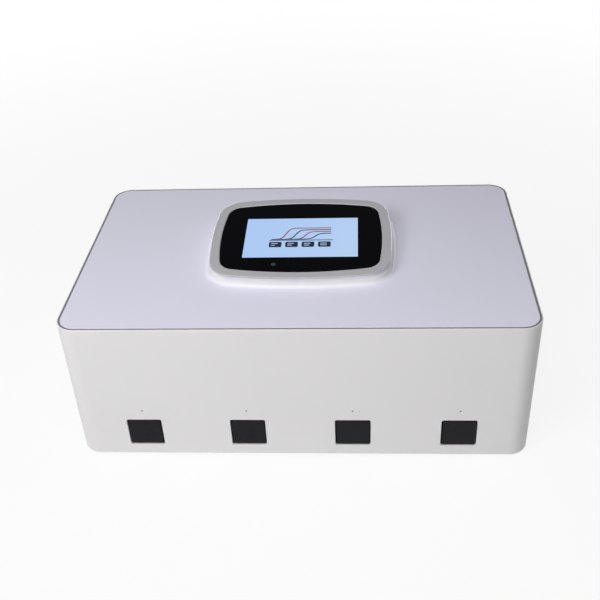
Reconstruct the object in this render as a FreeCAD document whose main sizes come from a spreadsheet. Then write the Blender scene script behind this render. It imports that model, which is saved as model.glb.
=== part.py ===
import FreeCAD, Part
import math
import os
import re
import Sketcher
from FreeCAD import Placement, Rotation, Vector

# Bench real-time PCR analyzer with four motor-driven chip trays and a raised touch display.
# The origin lies on the table under the middle of the casing: +X right, -Y front, +Z up.
# All lengths are in millimetres and all angles in degrees.

SIZES = {
    # casing
    "body_width": 474.0,
    "body_depth": 290.0,
    "body_height": 164.8,
    "corner_radius": 20.6,
    "shell_wall": 3.0,
    "bottom_round": 1.5,
    "rim_lip": 1.0,
    "rim_drop": 0.3,
    "rim_round": 0.6,
    "ledge_width": 9.0,
    "ledge_thickness": 3.0,
    "post_size": 10.0,
    "post_height": 14.0,
    "post_pitch_side": 95.0,
    "base_thickness": 2.5,
    "base_gap": 0.3,
    # top cover and its gasket
    "cover_thickness": 3.0,
    "cover_gap": 0.1,
    "cover_round": 0.5,
    "skirt_thickness": 2.5,
    "skirt_height": 8.0,
    "boss_radius": 3.5,
    "boss_inset": 8.5,
    "boss_pitch_side": 100.0,
    "boss_pitch_long": 110.0,
    "gasket_height": 2.4,
    "gasket_drop": 0.4,
    # feet
    "foot_height": 4.0,
    "foot_radius": 9.0,
    "foot_edge": 0.8,
    "foot_stem_radius": 3.0,
    "foot_stem_gap": 0.1,
    "foot_barb_radius": 4.2,
    "foot_barb_height": 2.0,
    "foot_inset_side": 32.0,
    "foot_inset_front": 27.0,
    # screws
    "screw_radius": 1.5,
    "screw_gap": 0.05,
    "screw_hole_gap": 0.2,
    "screw_head_radius": 2.8,
    "screw_head_height": 1.8,
    "screw_recess_width": 0.8,
    "screw_recess_depth": 1.0,
    "base_screw_length": 12.0,
    "cover_screw_length": 9.0,
    # display pod
    "glass_width": 173.0,
    "glass_depth": 126.0,
    "glass_bow_long": 8.2,
    "glass_bow_side": 4.9,
    "glass_corner": 17.0,
    "glass_thickness": 1.8,
    "glass_drop": 0.4,
    "glass_gap": 0.2,
    "glass_seat": 2.2,
    "ring_width": 10.4,
    "ring_corner": 29.0,
    "ring_round": 1.4,
    "ring_chamfer": 0.7,
    "bezel_thickness": 4.8,
    "pod_rise": 17.0,
    "pod_tilt": 4.5,
    "pod_taper": 15.0,
    "pod_wall": 3.0,
    "pod_fillet": 5.0,
    "flange_width": 8.0,
    "flange_thickness": 2.5,
    "screen_width": 131.0,
    "screen_depth": 80.4,
    "screen_shift": -2.0,
    "indicator_radius": 1.8,
    "indicator_flange": 2.6,
    "indicator_flange_thickness": 1.2,
    "indicator_left": 26.8,
    "indicator_front": 49.6,
    "bracket_thickness": 1.2,
    "bracket_lap": 7.4,
    "bracket_depth": 96.0,
    "bracket_stud_radius": 2.5,
    "bracket_stud_height": 4.0,
    "display_board_width": 120.0,
    "display_board_depth": 70.0,
    "display_screw_pitch": 50.0,
    "display_screw_length": 5.8,
    "board_thickness": 1.6,
    # bays in the front wall
    "bay_margin": 73.8,
    "bay_width": 36.8,
    "bay_height": 35.4,
    "bay_bottom": 12.8,
    "bay_corner": 2.2,
    "front_gap": 0.7,
    "front_recess": 0.5,
    "front_thickness": 5.0,
    "front_bevel": 1.2,
    "front_corner": 1.5,
    "light_height": 60.5,
    "light_radius": 1.0,
    "light_gap": 0.1,
    "light_flange": 2.2,
    "light_flange_thickness": 2.0,
    # chip tray
    "tray_width": 30.0,
    "tray_length": 100.0,
    "tray_height": 8.0,
    "tray_travel": 62.0,
    "tray_gap": 0.4,
    "chip_width": 23.0,
    "chip_length": 44.0,
    "chip_depth": 5.2,
    "chip_corner": 1.5,
    "chip_inset": 4.0,
    "grip_radius": 7.0,
    "window_size": 12.0,
    "window_inset": 12.0,
    # rack and pinion
    "gear_module": 0.8,
    "pinion_teeth": 18.0,
    "gear_width": 5.0,
    "gear_backlash": 0.15,
    "gear_root_gap": 0.2,
    "pressure_angle": 20.0,
    "rack_left": 7.0,
    "rack_overhang": 2.5,
    "pinion_back": 33.0,
    "shaft_radius": 1.5,
    "shaft_gap": 0.05,
    "shaft_hub_radius": 3.0,
    "shaft_depth": 8.0,
    # bay frame and what it carries
    "frame_wall": 2.5,
    "frame_floor": 2.0,
    "frame_clearance": 0.5,
    "frame_length": 109.0,
    "frame_rise": 13.5,
    "guide_width": 3.0,
    "guide_thickness": 2.0,
    "optics_length": 42.0,
    "optics_height": 26.0,
    "optics_round": 2.0,
    "optics_inset": 3.0,
    "lens_radius": 6.5,
    "lens_gap": 1.5,
    "heater_size": 15.0,
    "heater_gap": 0.5,
    "gearbox_length": 9.0,
    "gearbox_width": 12.0,
    "gearbox_height": 10.0,
    "motor_radius": 6.0,
    "motor_length": 17.0,
    # boards, battery and cables
    "backplane_height": 46.0,
    "backplane_overlap": 6.0,
    "backplane_plug_depth": 6.0,
    "backplane_plug_width": 20.0,
    "main_board_width": 180.0,
    "main_board_depth": 104.0,
    "main_board_left": 100.0,
    "main_board_front": 5.0,
    "standoff_radius": 3.0,
    "standoff_height": 8.0,
    "standoff_inset": 6.0,
    "sink_size": 42.0,
    "sink_base": 3.0,
    "sink_height": 18.0,
    "sink_fin": 1.5,
    "chip_package_height": 2.4,
    "battery_width": 84.0,
    "battery_length": 104.0,
    "battery_height": 38.0,
    "battery_side_gap": 14.0,
    "battery_front": 5.0,
    "battery_round": 6.0,
    "strap_width": 22.0,
    "strap_thickness": 1.5,
    "strap_foot": 12.0,
    "cable_width": 18.0,
    "cable_thickness": 0.6,
    "cable_bend": 4.0,
    "cable_offset": 30.0,
    # fan
    "fan_size": 80.0,
    "fan_depth": 25.0,
    "fan_side_gap": 29.0,
    "fan_height": 82.0,
    "fan_bore": 38.5,
    "fan_hub": 17.0,
    "fan_tip_gap": 1.2,
    "fan_plate": 3.0,
    "fan_strut": 4.0,
    "fan_shaft": 1.5,
    "fan_shaft_length": 12.0,
    "blade_count": 7.0,
    "blade_thickness": 1.8,
    "blade_chord": 18.0,
    "blade_pitch": 38.0,
    "vent_gap": 3.0,
    "vent_pitch": 6.5,
    "vent_length": 30.0,
    "vent_bar": 5.0,
    "intake_side_gap": 94.0,
    "intake_back": 50.0,
    # rear connector panel
    "port_left": 120.0,
    "port_width": 140.0,
    "port_height": 42.0,
    "port_low": 30.0,
    "port_corner": 4.0,
    "port_lap": 6.0,
    "port_thickness": 2.0,
    "port_screw_length": 4.2,
    "frame_screw_length": 4.2,
    "port_gap": 0.2,
    "usb_width": 14.5,
    "usb_height": 7.0,
    "usb_depth": 15.0,
    "usb_wall": 0.8,
    "usb_tongue": 1.8,
    "usb_pitch": 22.0,
    "usb_place": 72.0,
    "network_width": 16.0,
    "network_height": 13.5,
    "network_depth": 18.0,
    "network_wall": 1.8,
    "network_place": 105.0,
    "inlet_radius": 5.5,
    "inlet_bore": 3.2,
    "inlet_pin": 1.1,
    "inlet_depth": 12.0,
    "inlet_place": 124.0,
    "connector_flange": 2.0,
    # power switch
    "switch_place": 17.0,
    "switch_width": 15.0,
    "switch_height": 21.0,
    "switch_bezel": 1.4,
    "switch_body_inset": 1.0,
    "switch_depth": 15.0,
    "switch_wall": 1.4,
    "rocker_gap": 0.35,
    "rocker_end_gap": 1.0,
    "rocker_depth": 7.0,
    "rocker_angle": 8.0,
    "rocker_pin": 1.2,
    "rocker_pin_gap": 0.05,
}

PLACES = {
    # heights of the casing
    "base_top": "foot_height + base_thickness",
    "panel_top": "foot_height + body_height",
    "shell_top": "panel_top - rim_drop",
    "cover_low": "panel_top - cover_thickness",
    "skirt_low": "cover_low - skirt_height",
    "ledge_low": "skirt_low - ledge_thickness",
    "gasket_top": "panel_top - gasket_drop",
    "gasket_low": "gasket_top - gasket_height",
    # walls in plan
    "half_width": "body_width / 2",
    "half_depth": "body_depth / 2",
    "inner_width": "half_width - shell_wall",
    "inner_depth": "half_depth - shell_wall",
    "cover_inset": "shell_wall + cover_gap",
    "pod_plane": "panel_top + pod_rise",
    "bezel_seat": "0 - bezel_thickness",
    "flange_under": "0 - bezel_thickness - flange_thickness",
    "glass_low": "0 - glass_drop - glass_thickness",
    "bracket_low": "flange_under - bracket_thickness",
    "display_board_top": "bracket_low - bracket_stud_height",
    "pod_half_width": "glass_width / 2 + ring_width",
    "pod_half_depth": "glass_depth / 2 + ring_width",
    "cavity_half_width": "pod_half_width - glass_bow_side - pod_wall",
    "cavity_half_depth": "pod_half_depth - glass_bow_long - pod_wall",
    "bracket_half_width": "cavity_half_width - flange_width + bracket_lap",
    # bay, tray and gears, with x counted from the middle of the bay
    "bay_pitch": "(body_width - 2 * bay_margin) / 3",
    "bay_low": "foot_height + bay_bottom",
    "bay_middle": "bay_low + bay_height / 2",
    "front_outside": "0 - half_depth + front_recess",
    "front_inside": "front_outside + front_thickness",
    "tray_low": "bay_middle - tray_height / 2",
    "tray_top": "bay_middle + tray_height / 2",
    "tray_back": "front_inside + tray_length",
    "chip_front": "front_inside + chip_inset",
    "chip_back": "chip_front + chip_length",
    "chip_floor": "tray_top - chip_depth",
    "window_front": "front_inside + window_inset",
    "pitch_radius": "gear_module * pinion_teeth / 2",
    "gear_pitch": "pi * gear_module",
    "gear_dedendum": "gear_module + gear_root_gap",
    "pinion_place": "0 - half_depth + pinion_back",
    "pinion_height": "tray_low - gear_dedendum - pitch_radius",
    "frame_inside": "tray_width / 2 + tray_gap",
    "frame_outside": "frame_inside + frame_wall",
    "frame_front": "front_inside + frame_clearance",
    "frame_back": "frame_front + frame_length",
    "frame_deck": "base_top + frame_floor",
    "frame_top": "tray_top + frame_rise",
    "optics_front": "frame_front + optics_inset",
    "light_middle": "foot_height + light_height",
    # boards and battery
    "standoff_top": "base_top + standoff_height",
    "board_top": "standoff_top + board_thickness",
    "board_left": "0 - main_board_left",
    "board_right": "main_board_width - main_board_left",
    "board_back": "main_board_front + main_board_depth",
    "battery_left": "battery_side_gap - inner_width",
    "battery_back": "battery_front + battery_length",
    "battery_top": "base_top + battery_height",
    "backplane_front": "frame_back",
    "backplane_side": "1.5 * bay_pitch + frame_outside + backplane_overlap",
    # rear
    "fan_front": "inner_depth - fan_depth",
    "fan_side": "inner_width - fan_side_gap - fan_size / 2",
    "port_middle": "port_low + port_height / 2",
    "port_inner": "inner_depth - port_thickness",
    "rocker_axis_depth": "inner_depth - rocker_depth / 2",
}

WORD = re.compile(r"[a-z][a-z_]*")

doc = FreeCAD.newDocument("Analyzer")
sheet = doc.addObject("Spreadsheet::Sheet", "Sizes")
parts = []


def formula(text):
    """Spell out every named place, and point every named size at its cell."""
    def spell(match):
        word = match.group(0)
        if word in PLACES:
            return "(" + formula(PLACES[word]) + ")"
        if word in SIZES:
            return "Sizes." + word
        return word
    return WORD.sub(spell, str(text))


def value(text):
    """The number that a formula gives with the present sizes."""
    return float(sheet.evalExpression(formula(text)))


def less(text, amount):
    return "(%s) - (%s)" % (text, amount)


def more(text, amount):
    return "(%s) + (%s)" % (text, amount)


def minus(text):
    return "0 - (%s)" % text


def bind(item, name, text):
    item.setExpression(name, formula(text))


def place(item, x="0", y="0", z="0", axis=None, angle="0"):
    """Give a finished object its Placement, with a turn about one axis."""
    spin = Rotation(axis or Vector(0, 0, 1), value(angle))
    item.Placement = Placement(Vector(value(x), value(y), value(z)), spin)
    for name, text in (("x", x), ("y", y), ("z", z)):
        bind(item, "Placement.Base." + name, text)
    if axis:
        bind(item, "Placement.Rotation.Angle", angle)
    return item


# Sketches and features of bodies

def new_body(label):
    body = doc.addObject("PartDesign::Body", label)
    body.Label = label
    return body


def origin_part(body, role):
    return [item for item in body.Origin.OriginFeatures if item.Role == role][0]


def new_sketch(body, name, plane="XY_Plane", offset="0", tilt=None, sunk="0"):
    """A sketch on an origin plane. With a tilt it leans back about X, sunk below that plane."""
    sketch = body.newObject("Sketcher::SketchObject", name)
    sketch.AttachmentSupport = (origin_part(body, plane), [""])
    sketch.MapMode = "FlatFace"
    if tilt is None:
        sketch.AttachmentOffset = Placement(Vector(0, 0, value(offset)), Rotation())
        bind(sketch, "AttachmentOffset.Base.z", offset)
        return sketch
    back = "sin(%s) * (%s)" % (tilt, sunk)
    high = "%s - cos(%s) * (%s)" % (offset, tilt, sunk)
    lean = Rotation(Vector(1, 0, 0), value(tilt))
    sketch.AttachmentOffset = Placement(Vector(0, value(back), value(high)), lean)
    bind(sketch, "AttachmentOffset.Base.y", back)
    bind(sketch, "AttachmentOffset.Base.z", high)
    bind(sketch, "AttachmentOffset.Rotation.Angle", tilt)
    return sketch


def constrain(sketch, links, measures):
    """Add plain links and driving sizes in one step, with each size bound to the sheet."""
    items = [Sketcher.Constraint(*link) for link in links]
    bound = []
    for kind, elements, text in measures:
        item = Sketcher.Constraint(kind, *elements, value(text))
        item.Name = "size_%d" % (sketch.ConstraintCount + len(items))
        items.append(item)
        bound.append((item.Name, text))
    sketch.addConstraint(items)
    for name, text in bound:
        bind(sketch, "Constraints." + name, text)


def point_at(element, end, x, y):
    """The two measures that hold a point at a place."""
    return [("DistanceX", (-1, 1, element, end), x), ("DistanceY", (-1, 1, element, end), y)]


def add_circle(sketch, x, y, radius):
    centre = Vector(value(x), value(y), 0)
    index = sketch.addGeometry(Part.Circle(centre, Vector(0, 0, 1), value(radius)))
    constrain(sketch, [], point_at(index, 3, x, y) + [("Radius", (index,), radius)])


def add_polygon(sketch, corners):
    """A closed outline of straight edges through corners, each a pair of formulas."""
    points = [Vector(value(x), value(y), 0) for x, y in corners]
    count = len(points)
    lines = sketch.addGeometry([
        Part.LineSegment(points[step], points[(step + 1) % count]) for step in range(count)
    ])
    links = [("Coincident", lines[step], 2, lines[(step + 1) % count], 1) for step in range(count)]
    measures = []
    for line, corner in zip(lines, corners):
        measures += point_at(line, 1, *corner)
    constrain(sketch, links, measures)


def add_rectangle(sketch, left, right, low, high):
    add_polygon(sketch, [(left, low), (right, low), (right, high), (left, high)])


def add_rounded(sketch, left, right, low, high, radius):
    """A rectangle whose corners are arcs, tangent to its sides."""
    x0, x1, y0, y1, r = (value(text) for text in (left, right, low, high, radius))
    quarter = math.pi / 2
    centres = [
        (more(left, radius), more(low, radius)),
        (less(right, radius), more(low, radius)),
        (less(right, radius), less(high, radius)),
        (more(left, radius), less(high, radius)),
    ]
    sides = [
        (x0 + r, y0, x1 - r, y0),
        (x1, y0 + r, x1, y1 - r),
        (x1 - r, y1, x0 + r, y1),
        (x0, y1 - r, x0, y0 + r),
    ]
    curves = []
    for step, (x, y) in enumerate(centres):
        circle = Part.Circle(Vector(value(x), value(y), 0), Vector(0, 0, 1), r)
        start = (step + 2) * quarter
        curves.append(Part.ArcOfCircle(circle, start, start + quarter))
    arcs = sketch.addGeometry(curves)
    lines = sketch.addGeometry([
        Part.LineSegment(Vector(a, b, 0), Vector(c, d, 0)) for a, b, c, d in sides
    ])
    links = []
    measures = []
    for step in range(4):
        links.append(("Tangent", arcs[step], 2, lines[step], 1))
        links.append(("Tangent", lines[step], 2, arcs[(step + 1) % 4], 1))
        measures += point_at(arcs[step], 3, *centres[step])
        measures.append(("Radius", (arcs[step],), radius))
    constrain(sketch, links, measures)


def add_plan(sketch, inset):
    """The casing's rounded outline in plan, drawn in by an inset."""
    half_x = less("half_width", inset)
    half_y = less("half_depth", inset)
    radius = less("corner_radius", inset)
    add_rounded(sketch, minus(half_x), half_x, minus(half_y), half_y, radius)


def add_pillow(sketch, half_x, half_y):
    """Four outward-bowed sides that meet at sharp corners, later rounded as edges."""
    corner_x = less(half_x, "glass_bow_side")
    corner_y = less(half_y, "glass_bow_long")
    long_radius = "((%s)^2 + glass_bow_long^2) / (2 * glass_bow_long)" % corner_x
    side_radius = "((%s)^2 + glass_bow_side^2) / (2 * glass_bow_side)" % corner_y
    long_turn = math.asin(value(corner_x) / value(long_radius))
    side_turn = math.asin(value(corner_y) / value(side_radius))
    long_reach = value(half_y) - value(long_radius)
    side_reach = value(half_x) - value(side_radius)
    sides = [
        (0, -long_reach, long_radius, -math.pi / 2, long_turn),
        (side_reach, 0, side_radius, 0, side_turn),
        (0, long_reach, long_radius, math.pi / 2, long_turn),
        (-side_reach, 0, side_radius, math.pi, side_turn),
    ]
    starts = [
        (minus(corner_x), minus(corner_y)),
        (corner_x, minus(corner_y)),
        (corner_x, corner_y),
        (minus(corner_x), corner_y),
    ]
    curves = []
    for x, y, radius, middle, turn in sides:
        circle = Part.Circle(Vector(x, y, 0), Vector(0, 0, 1), value(radius))
        curves.append(Part.ArcOfCircle(circle, middle - turn, middle + turn))
    arcs = sketch.addGeometry(curves)
    links = [("Coincident", arcs[step], 2, arcs[(step + 1) % 4], 1) for step in range(4)]
    measures = []
    for step in range(4):
        measures += point_at(arcs[step], 1, *starts[step])
        measures.append(("Radius", (arcs[step],), sides[step][2]))
    constrain(sketch, links, measures)


def extrude(body, kind, sketch, name, length, reverse=False):
    feature = body.newObject("PartDesign::" + kind, name)
    feature.Profile = sketch
    feature.Length = value(length)
    bind(feature, "Length", length)
    feature.Reversed = reverse
    doc.recompute()
    return feature


def pad(body, sketch, name, length, reverse=False):
    return extrude(body, "Pad", sketch, name, length, reverse)


def pocket(body, sketch, name, length, reverse=False):
    return extrude(body, "Pocket", sketch, name, length, reverse)


def edge_names(shape, keep):
    return ["Edge%d" % (step + 1) for step, edge in enumerate(shape.Edges) if keep(edge)]


def soften(body, kind, base, name, size, keep):
    """A fillet or a chamfer on the base feature's edges that keep() picks."""
    picked = edge_names(base.Shape, keep)
    if not picked:
        raise RuntimeError(name + " finds no edges")
    feature = body.newObject("PartDesign::" + kind, name)
    feature.Base = (base, picked)
    key = "Radius" if kind == "Fillet" else "Size"
    setattr(feature, key, value(size))
    bind(feature, key, size)
    doc.recompute()
    return feature


def at_height(height):
    """Picks edges that lie level at one height."""
    target = value(height)

    def keep(edge):
        box = edge.BoundBox
        return abs(box.ZMin - target) < 1e-4 and abs(box.ZMax - target) < 1e-4
    return keep


def upright(half_x, half_y):
    """Picks edges that run along Z at the sharp corners of a pillow outline."""
    corner_x = value(less(half_x, "glass_bow_side"))
    corner_y = value(less(half_y, "glass_bow_long"))
    slack = 0.5

    def keep(edge):
        middle = edge.valueAt((edge.FirstParameter + edge.LastParameter) / 2)
        near = abs(abs(middle.x) - corner_x) < slack and abs(abs(middle.y) - corner_y) < slack
        return near and edge.BoundBox.ZLength > slack
    return keep


def edges_inside(half_x, half_y):
    """Narrows a picker to edges within a rectangle about the origin in plan."""
    def keep(edge):
        box = edge.BoundBox
        return max(abs(box.XMin), abs(box.XMax)) < half_x and max(abs(box.YMin), abs(box.YMax)) < half_y
    return keep


# Primitives

def box(name, left, right, front, back, low, high):
    item = doc.addObject("Part::Box", name)
    for key, start, end in (("Length", left, right), ("Width", front, back), ("Height", low, high)):
        bind(item, key, less(end, start))
    bind(item, "Placement.Base.x", left)
    bind(item, "Placement.Base.y", front)
    bind(item, "Placement.Base.z", low)
    return item


def cylinder(name, axis, radius, start, length, across=("0", "0")):
    """A round bar along one row axis, from start; across gives its other two coordinates."""
    item = doc.addObject("Part::Cylinder", name)
    bind(item, "Radius", radius)
    bind(item, "Height", length)
    spins = {
        "x": Rotation(Vector(0, 1, 0), 90),
        "y": Rotation(Vector(1, 0, 0), -90),
        "z": Rotation(),
    }
    orders = {"x": (start,) + across, "y": (across[0], start, across[1]), "z": across + (start,)}
    item.Placement = Placement(Vector(0, 0, 0), spins[axis])
    for name, text in zip("xyz", orders[axis]):
        bind(item, "Placement.Base." + name, text)
    return item


def fuse(name, shapes):
    item = doc.addObject("Part::MultiFuse", name)
    item.Shapes = shapes
    return item


def cut(name, base, tools):
    """Base less the tools, which are joined first where there are several."""
    item = doc.addObject("Part::Cut", name)
    item.Base = base
    item.Tool = tools[0] if len(tools) == 1 else fuse(name + "_tools", tools)
    return item


def group(label, items):
    """Separate solids that share one node."""
    item = doc.addObject("Part::Compound", label)
    item.Links = items
    return item


def keep_part(item, label):
    """Count an object as a sub-part, under the name of its file."""
    item.Label = label
    parts.append(item)
    return item


# Fasteners

def screw(name, length, x, y, z, axis=None, angle="0"):
    """A cross-head screw whose head sits on z and whose shank points down, before its turn."""
    head = cylinder(name + "_head", "z", "screw_head_radius", "0", "screw_head_height")
    shank = cylinder(name + "_shank", "z", "screw_radius", minus(length), length)
    low = less("screw_head_height", "screw_recess_depth")
    reach = "screw_head_radius * 0.6"
    half = "screw_recess_width / 2"
    bars = [
        box(name + "_bar_a", minus(reach), reach, minus(half), half, low, "screw_head_height + 1"),
        box(name + "_bar_b", minus(half), half, minus(reach), reach, low, "screw_head_height + 1"),
    ]
    whole = cut(name, fuse(name + "_blank", [head, shank]), bars)
    return place(whole, x, y, z, axis, angle)


def base_screw_places():
    """Where the base is screwed to the shell's posts."""
    side = "inner_width - post_size / 2"
    front = "inner_depth - post_size / 2"
    places = []
    for sign in ("-1", "1"):
        for step in (-1, 0, 1):
            places.append(("%s * (%s)" % (sign, side), "%d * post_pitch_side" % step))
            places.append(("%d * bay_pitch" % step, "%s * (%s)" % (sign, front)))
    return places


def cover_screw_places():
    """Where the shell's ledge is screwed to the cover's bosses."""
    side = "half_width - boss_inset"
    front = "half_depth - boss_inset"
    places = []
    for sign in ("-1", "1"):
        for step in (-1, 0, 1):
            places.append(("%s * (%s)" % (sign, side), "%d * boss_pitch_side" % step))
        for step in (-1, 1):
            places.append(("%d * boss_pitch_long" % step, "%s * (%s)" % (sign, front)))
    return places


def foot_places():
    side = "half_width - foot_inset_side"
    front = "half_depth - foot_inset_front"
    return [
        ("%d * (%s)" % (across, side), "%d * (%s)" % (along, front))
        for across in (-1, 1)
        for along in (-1, 1)
    ]


def bay_places():
    return ["%s * bay_pitch" % step for step in (-1.5, -0.5, 0.5, 1.5)]


# Casing

def make_body_shell():
    body = new_body("body_shell")
    sketch = new_sketch(body, "shell_plan", offset="foot_height")
    add_plan(sketch, "0")
    pad(body, sketch, "shell_block", "shell_top - foot_height")

    sketch = new_sketch(body, "cavity_plan", offset="foot_height")
    add_plan(sketch, "shell_wall")
    pocket(body, sketch, "cavity", "body_height", reverse=True)

    sketch = new_sketch(body, "rebate_plan", offset="gasket_low")
    add_plan(sketch, "rim_lip")
    block = pocket(body, sketch, "gasket_rebate", "body_height", reverse=True)

    outer_low = at_height("foot_height")
    half = value("half_width") - value("shell_wall") / 2
    deep = value("half_depth") - value("shell_wall") / 2

    def outside(edge):
        return not edges_inside(half, deep)(edge)

    soften(body, "Fillet", block, "bottom_edge", "bottom_round",
           lambda edge: outer_low(edge) and wraps(edge, 0.0))
    rim = at_height("shell_top")
    soften(body, "Fillet", body.Tip, "rim_edge", "rim_round",
           lambda edge: rim(edge) and wraps(edge, 0.0))

    sketch = new_sketch(body, "ledge_plan", offset="ledge_low")
    add_plan(sketch, "shell_wall / 2")
    add_plan(sketch, "shell_wall + ledge_width")
    pad(body, sketch, "ledge", "ledge_thickness")

    sketch = new_sketch(body, "ledge_holes", offset="ledge_low")
    for x, y in cover_screw_places():
        add_circle(sketch, x, y, "screw_radius + screw_hole_gap")
    pocket(body, sketch, "ledge_drilling", "ledge_thickness", reverse=True)

    sketch = new_sketch(body, "post_plan", offset="base_top")
    reach = "post_size / 2 + shell_wall / 2"
    for sign in (-1, 1):
        for step in (-1, 0, 1):
            side = "%d * (inner_width - post_size / 2 + shell_wall / 4)" % sign
            front = "%d * (inner_depth - post_size / 2 + shell_wall / 4)" % sign
            deeper = "post_size / 2 + shell_wall / 4"
            level = "%d * post_pitch_side" % step
            across = "%d * bay_pitch" % step
            add_rectangle(sketch, less(side, deeper), more(side, deeper),
                          less(level, "post_size / 2"), more(level, "post_size / 2"))
            add_rectangle(sketch, less(across, "post_size / 2"), more(across, "post_size / 2"),
                          less(front, deeper), more(front, deeper))
    pad(body, sketch, "posts", "post_height")

    sketch = new_sketch(body, "post_holes", offset="base_top")
    for x, y in base_screw_places():
        add_circle(sketch, x, y, "screw_radius + screw_gap")
    pocket(body, sketch, "post_drilling", "base_screw_length - base_thickness + 0.5", reverse=True)

    sketch = new_sketch(body, "bay_mouths", "XZ_Plane", "half_depth")
    for middle in bay_places():
        add_rounded(sketch, less(middle, "bay_width / 2"), more(middle, "bay_width / 2"),
                    "bay_low", "bay_low + bay_height", "bay_corner")
    pocket(body, sketch, "bay_openings", "shell_wall")

    sketch = new_sketch(body, "light_holes", "XZ_Plane", "half_depth")
    for middle in bay_places():
        add_circle(sketch, middle, "light_middle", "light_radius + light_gap")
    pocket(body, sketch, "light_drilling", "shell_wall")

    sketch = new_sketch(body, "port_window", "XZ_Plane", "0 - inner_depth")
    add_rounded(sketch, "0 - port_left", "port_width - port_left",
                "port_low", "port_low + port_height", "port_corner")
    pocket(body, sketch, "port_opening", "shell_wall")

    vent_slots(body, "fan_slots", "XZ_Plane", "0 - inner_depth", "fan_side", "fan_height", 11,
               "shell_wall")

    sketch = new_sketch(body, "port_screw_holes", "XZ_Plane", "0 - inner_depth")
    for x, z in port_screw_places():
        add_circle(sketch, x, z, "screw_radius + screw_gap")
    pocket(body, sketch, "port_drilling", "port_screw_length - port_thickness + 0.1")
    return keep_part(body, "body_shell")


def wraps(edge, inset):
    """Tells whether an edge lies on the casing's outline, drawn in by an inset."""
    half_x = value("half_width") - inset
    half_y = value("half_depth") - inset
    radius = value("corner_radius") - inset
    for share in (0.1, 0.5, 0.9):
        spread = edge.LastParameter - edge.FirstParameter
        point = edge.valueAt(edge.FirstParameter + share * spread)
        over_x = max(abs(point.x) - (half_x - radius), 0.0)
        over_y = max(abs(point.y) - (half_y - radius), 0.0)
        if abs(math.hypot(over_x, over_y) - radius) > 0.01:
            return False
    return True


def vent_slots(body, name, plane, offset, x, y, rows, depth, reverse=False):
    """Two columns of slots about a middle: the lowest row is cut, then repeated upwards."""
    sketch = new_sketch(body, name + "_plan", plane, offset)
    level = "%s - %s * vent_pitch" % (y, (rows - 1) / 2)
    low = less(level, "vent_gap / 2")
    high = more(level, "vent_gap / 2")
    inner = "vent_bar / 2"
    outer = "vent_bar / 2 + vent_length"
    round_end = "vent_gap / 2 - 0.05"
    add_rounded(sketch, less(x, outer), less(x, inner), low, high, round_end)
    add_rounded(sketch, more(x, inner), more(x, outer), low, high, round_end)
    slots = pocket(body, sketch, name + "_row", depth, reverse)
    column = body.newObject("PartDesign::LinearPattern", name)
    column.Originals = [slots]
    column.Direction = (sketch, ["V_Axis"])
    column.Occurrences = rows
    bind(column, "Length", "%d * vent_pitch" % (rows - 1))
    body.Tip = column
    doc.recompute()
    return column


def make_base_plate():
    body = new_body("base_plate")
    sketch = new_sketch(body, "base_plan", offset="foot_height")
    add_plan(sketch, "shell_wall + base_gap")
    pad(body, sketch, "base_sheet", "base_thickness")

    sketch = new_sketch(body, "base_holes", offset="foot_height")
    for x, y in base_screw_places():
        add_circle(sketch, x, y, "screw_radius + screw_hole_gap")
    for x, y in foot_places():
        add_circle(sketch, x, y, "foot_stem_radius + foot_stem_gap")
    for x in bay_places():
        for y in frame_screw_places():
            add_circle(sketch, x, y, "screw_radius + screw_gap")
    pocket(body, sketch, "base_drilling", "base_thickness", reverse=True)

    vent_slots(body, "intake_slots", "XY_Plane", "foot_height", "inner_width - intake_side_gap",
               "intake_back", 9, "base_thickness", reverse=True)

    sketch = new_sketch(body, "standoff_plan", offset="base_top")
    for x, y in standoff_places():
        add_circle(sketch, x, y, "standoff_radius")
    pad(body, sketch, "standoffs", "standoff_height")
    return keep_part(body, "base_plate")


def standoff_places():
    return [
        (x, y)
        for x in ("board_left + standoff_inset", "board_right - standoff_inset")
        for y in ("main_board_front + standoff_inset", "board_back - standoff_inset")
    ]


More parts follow.
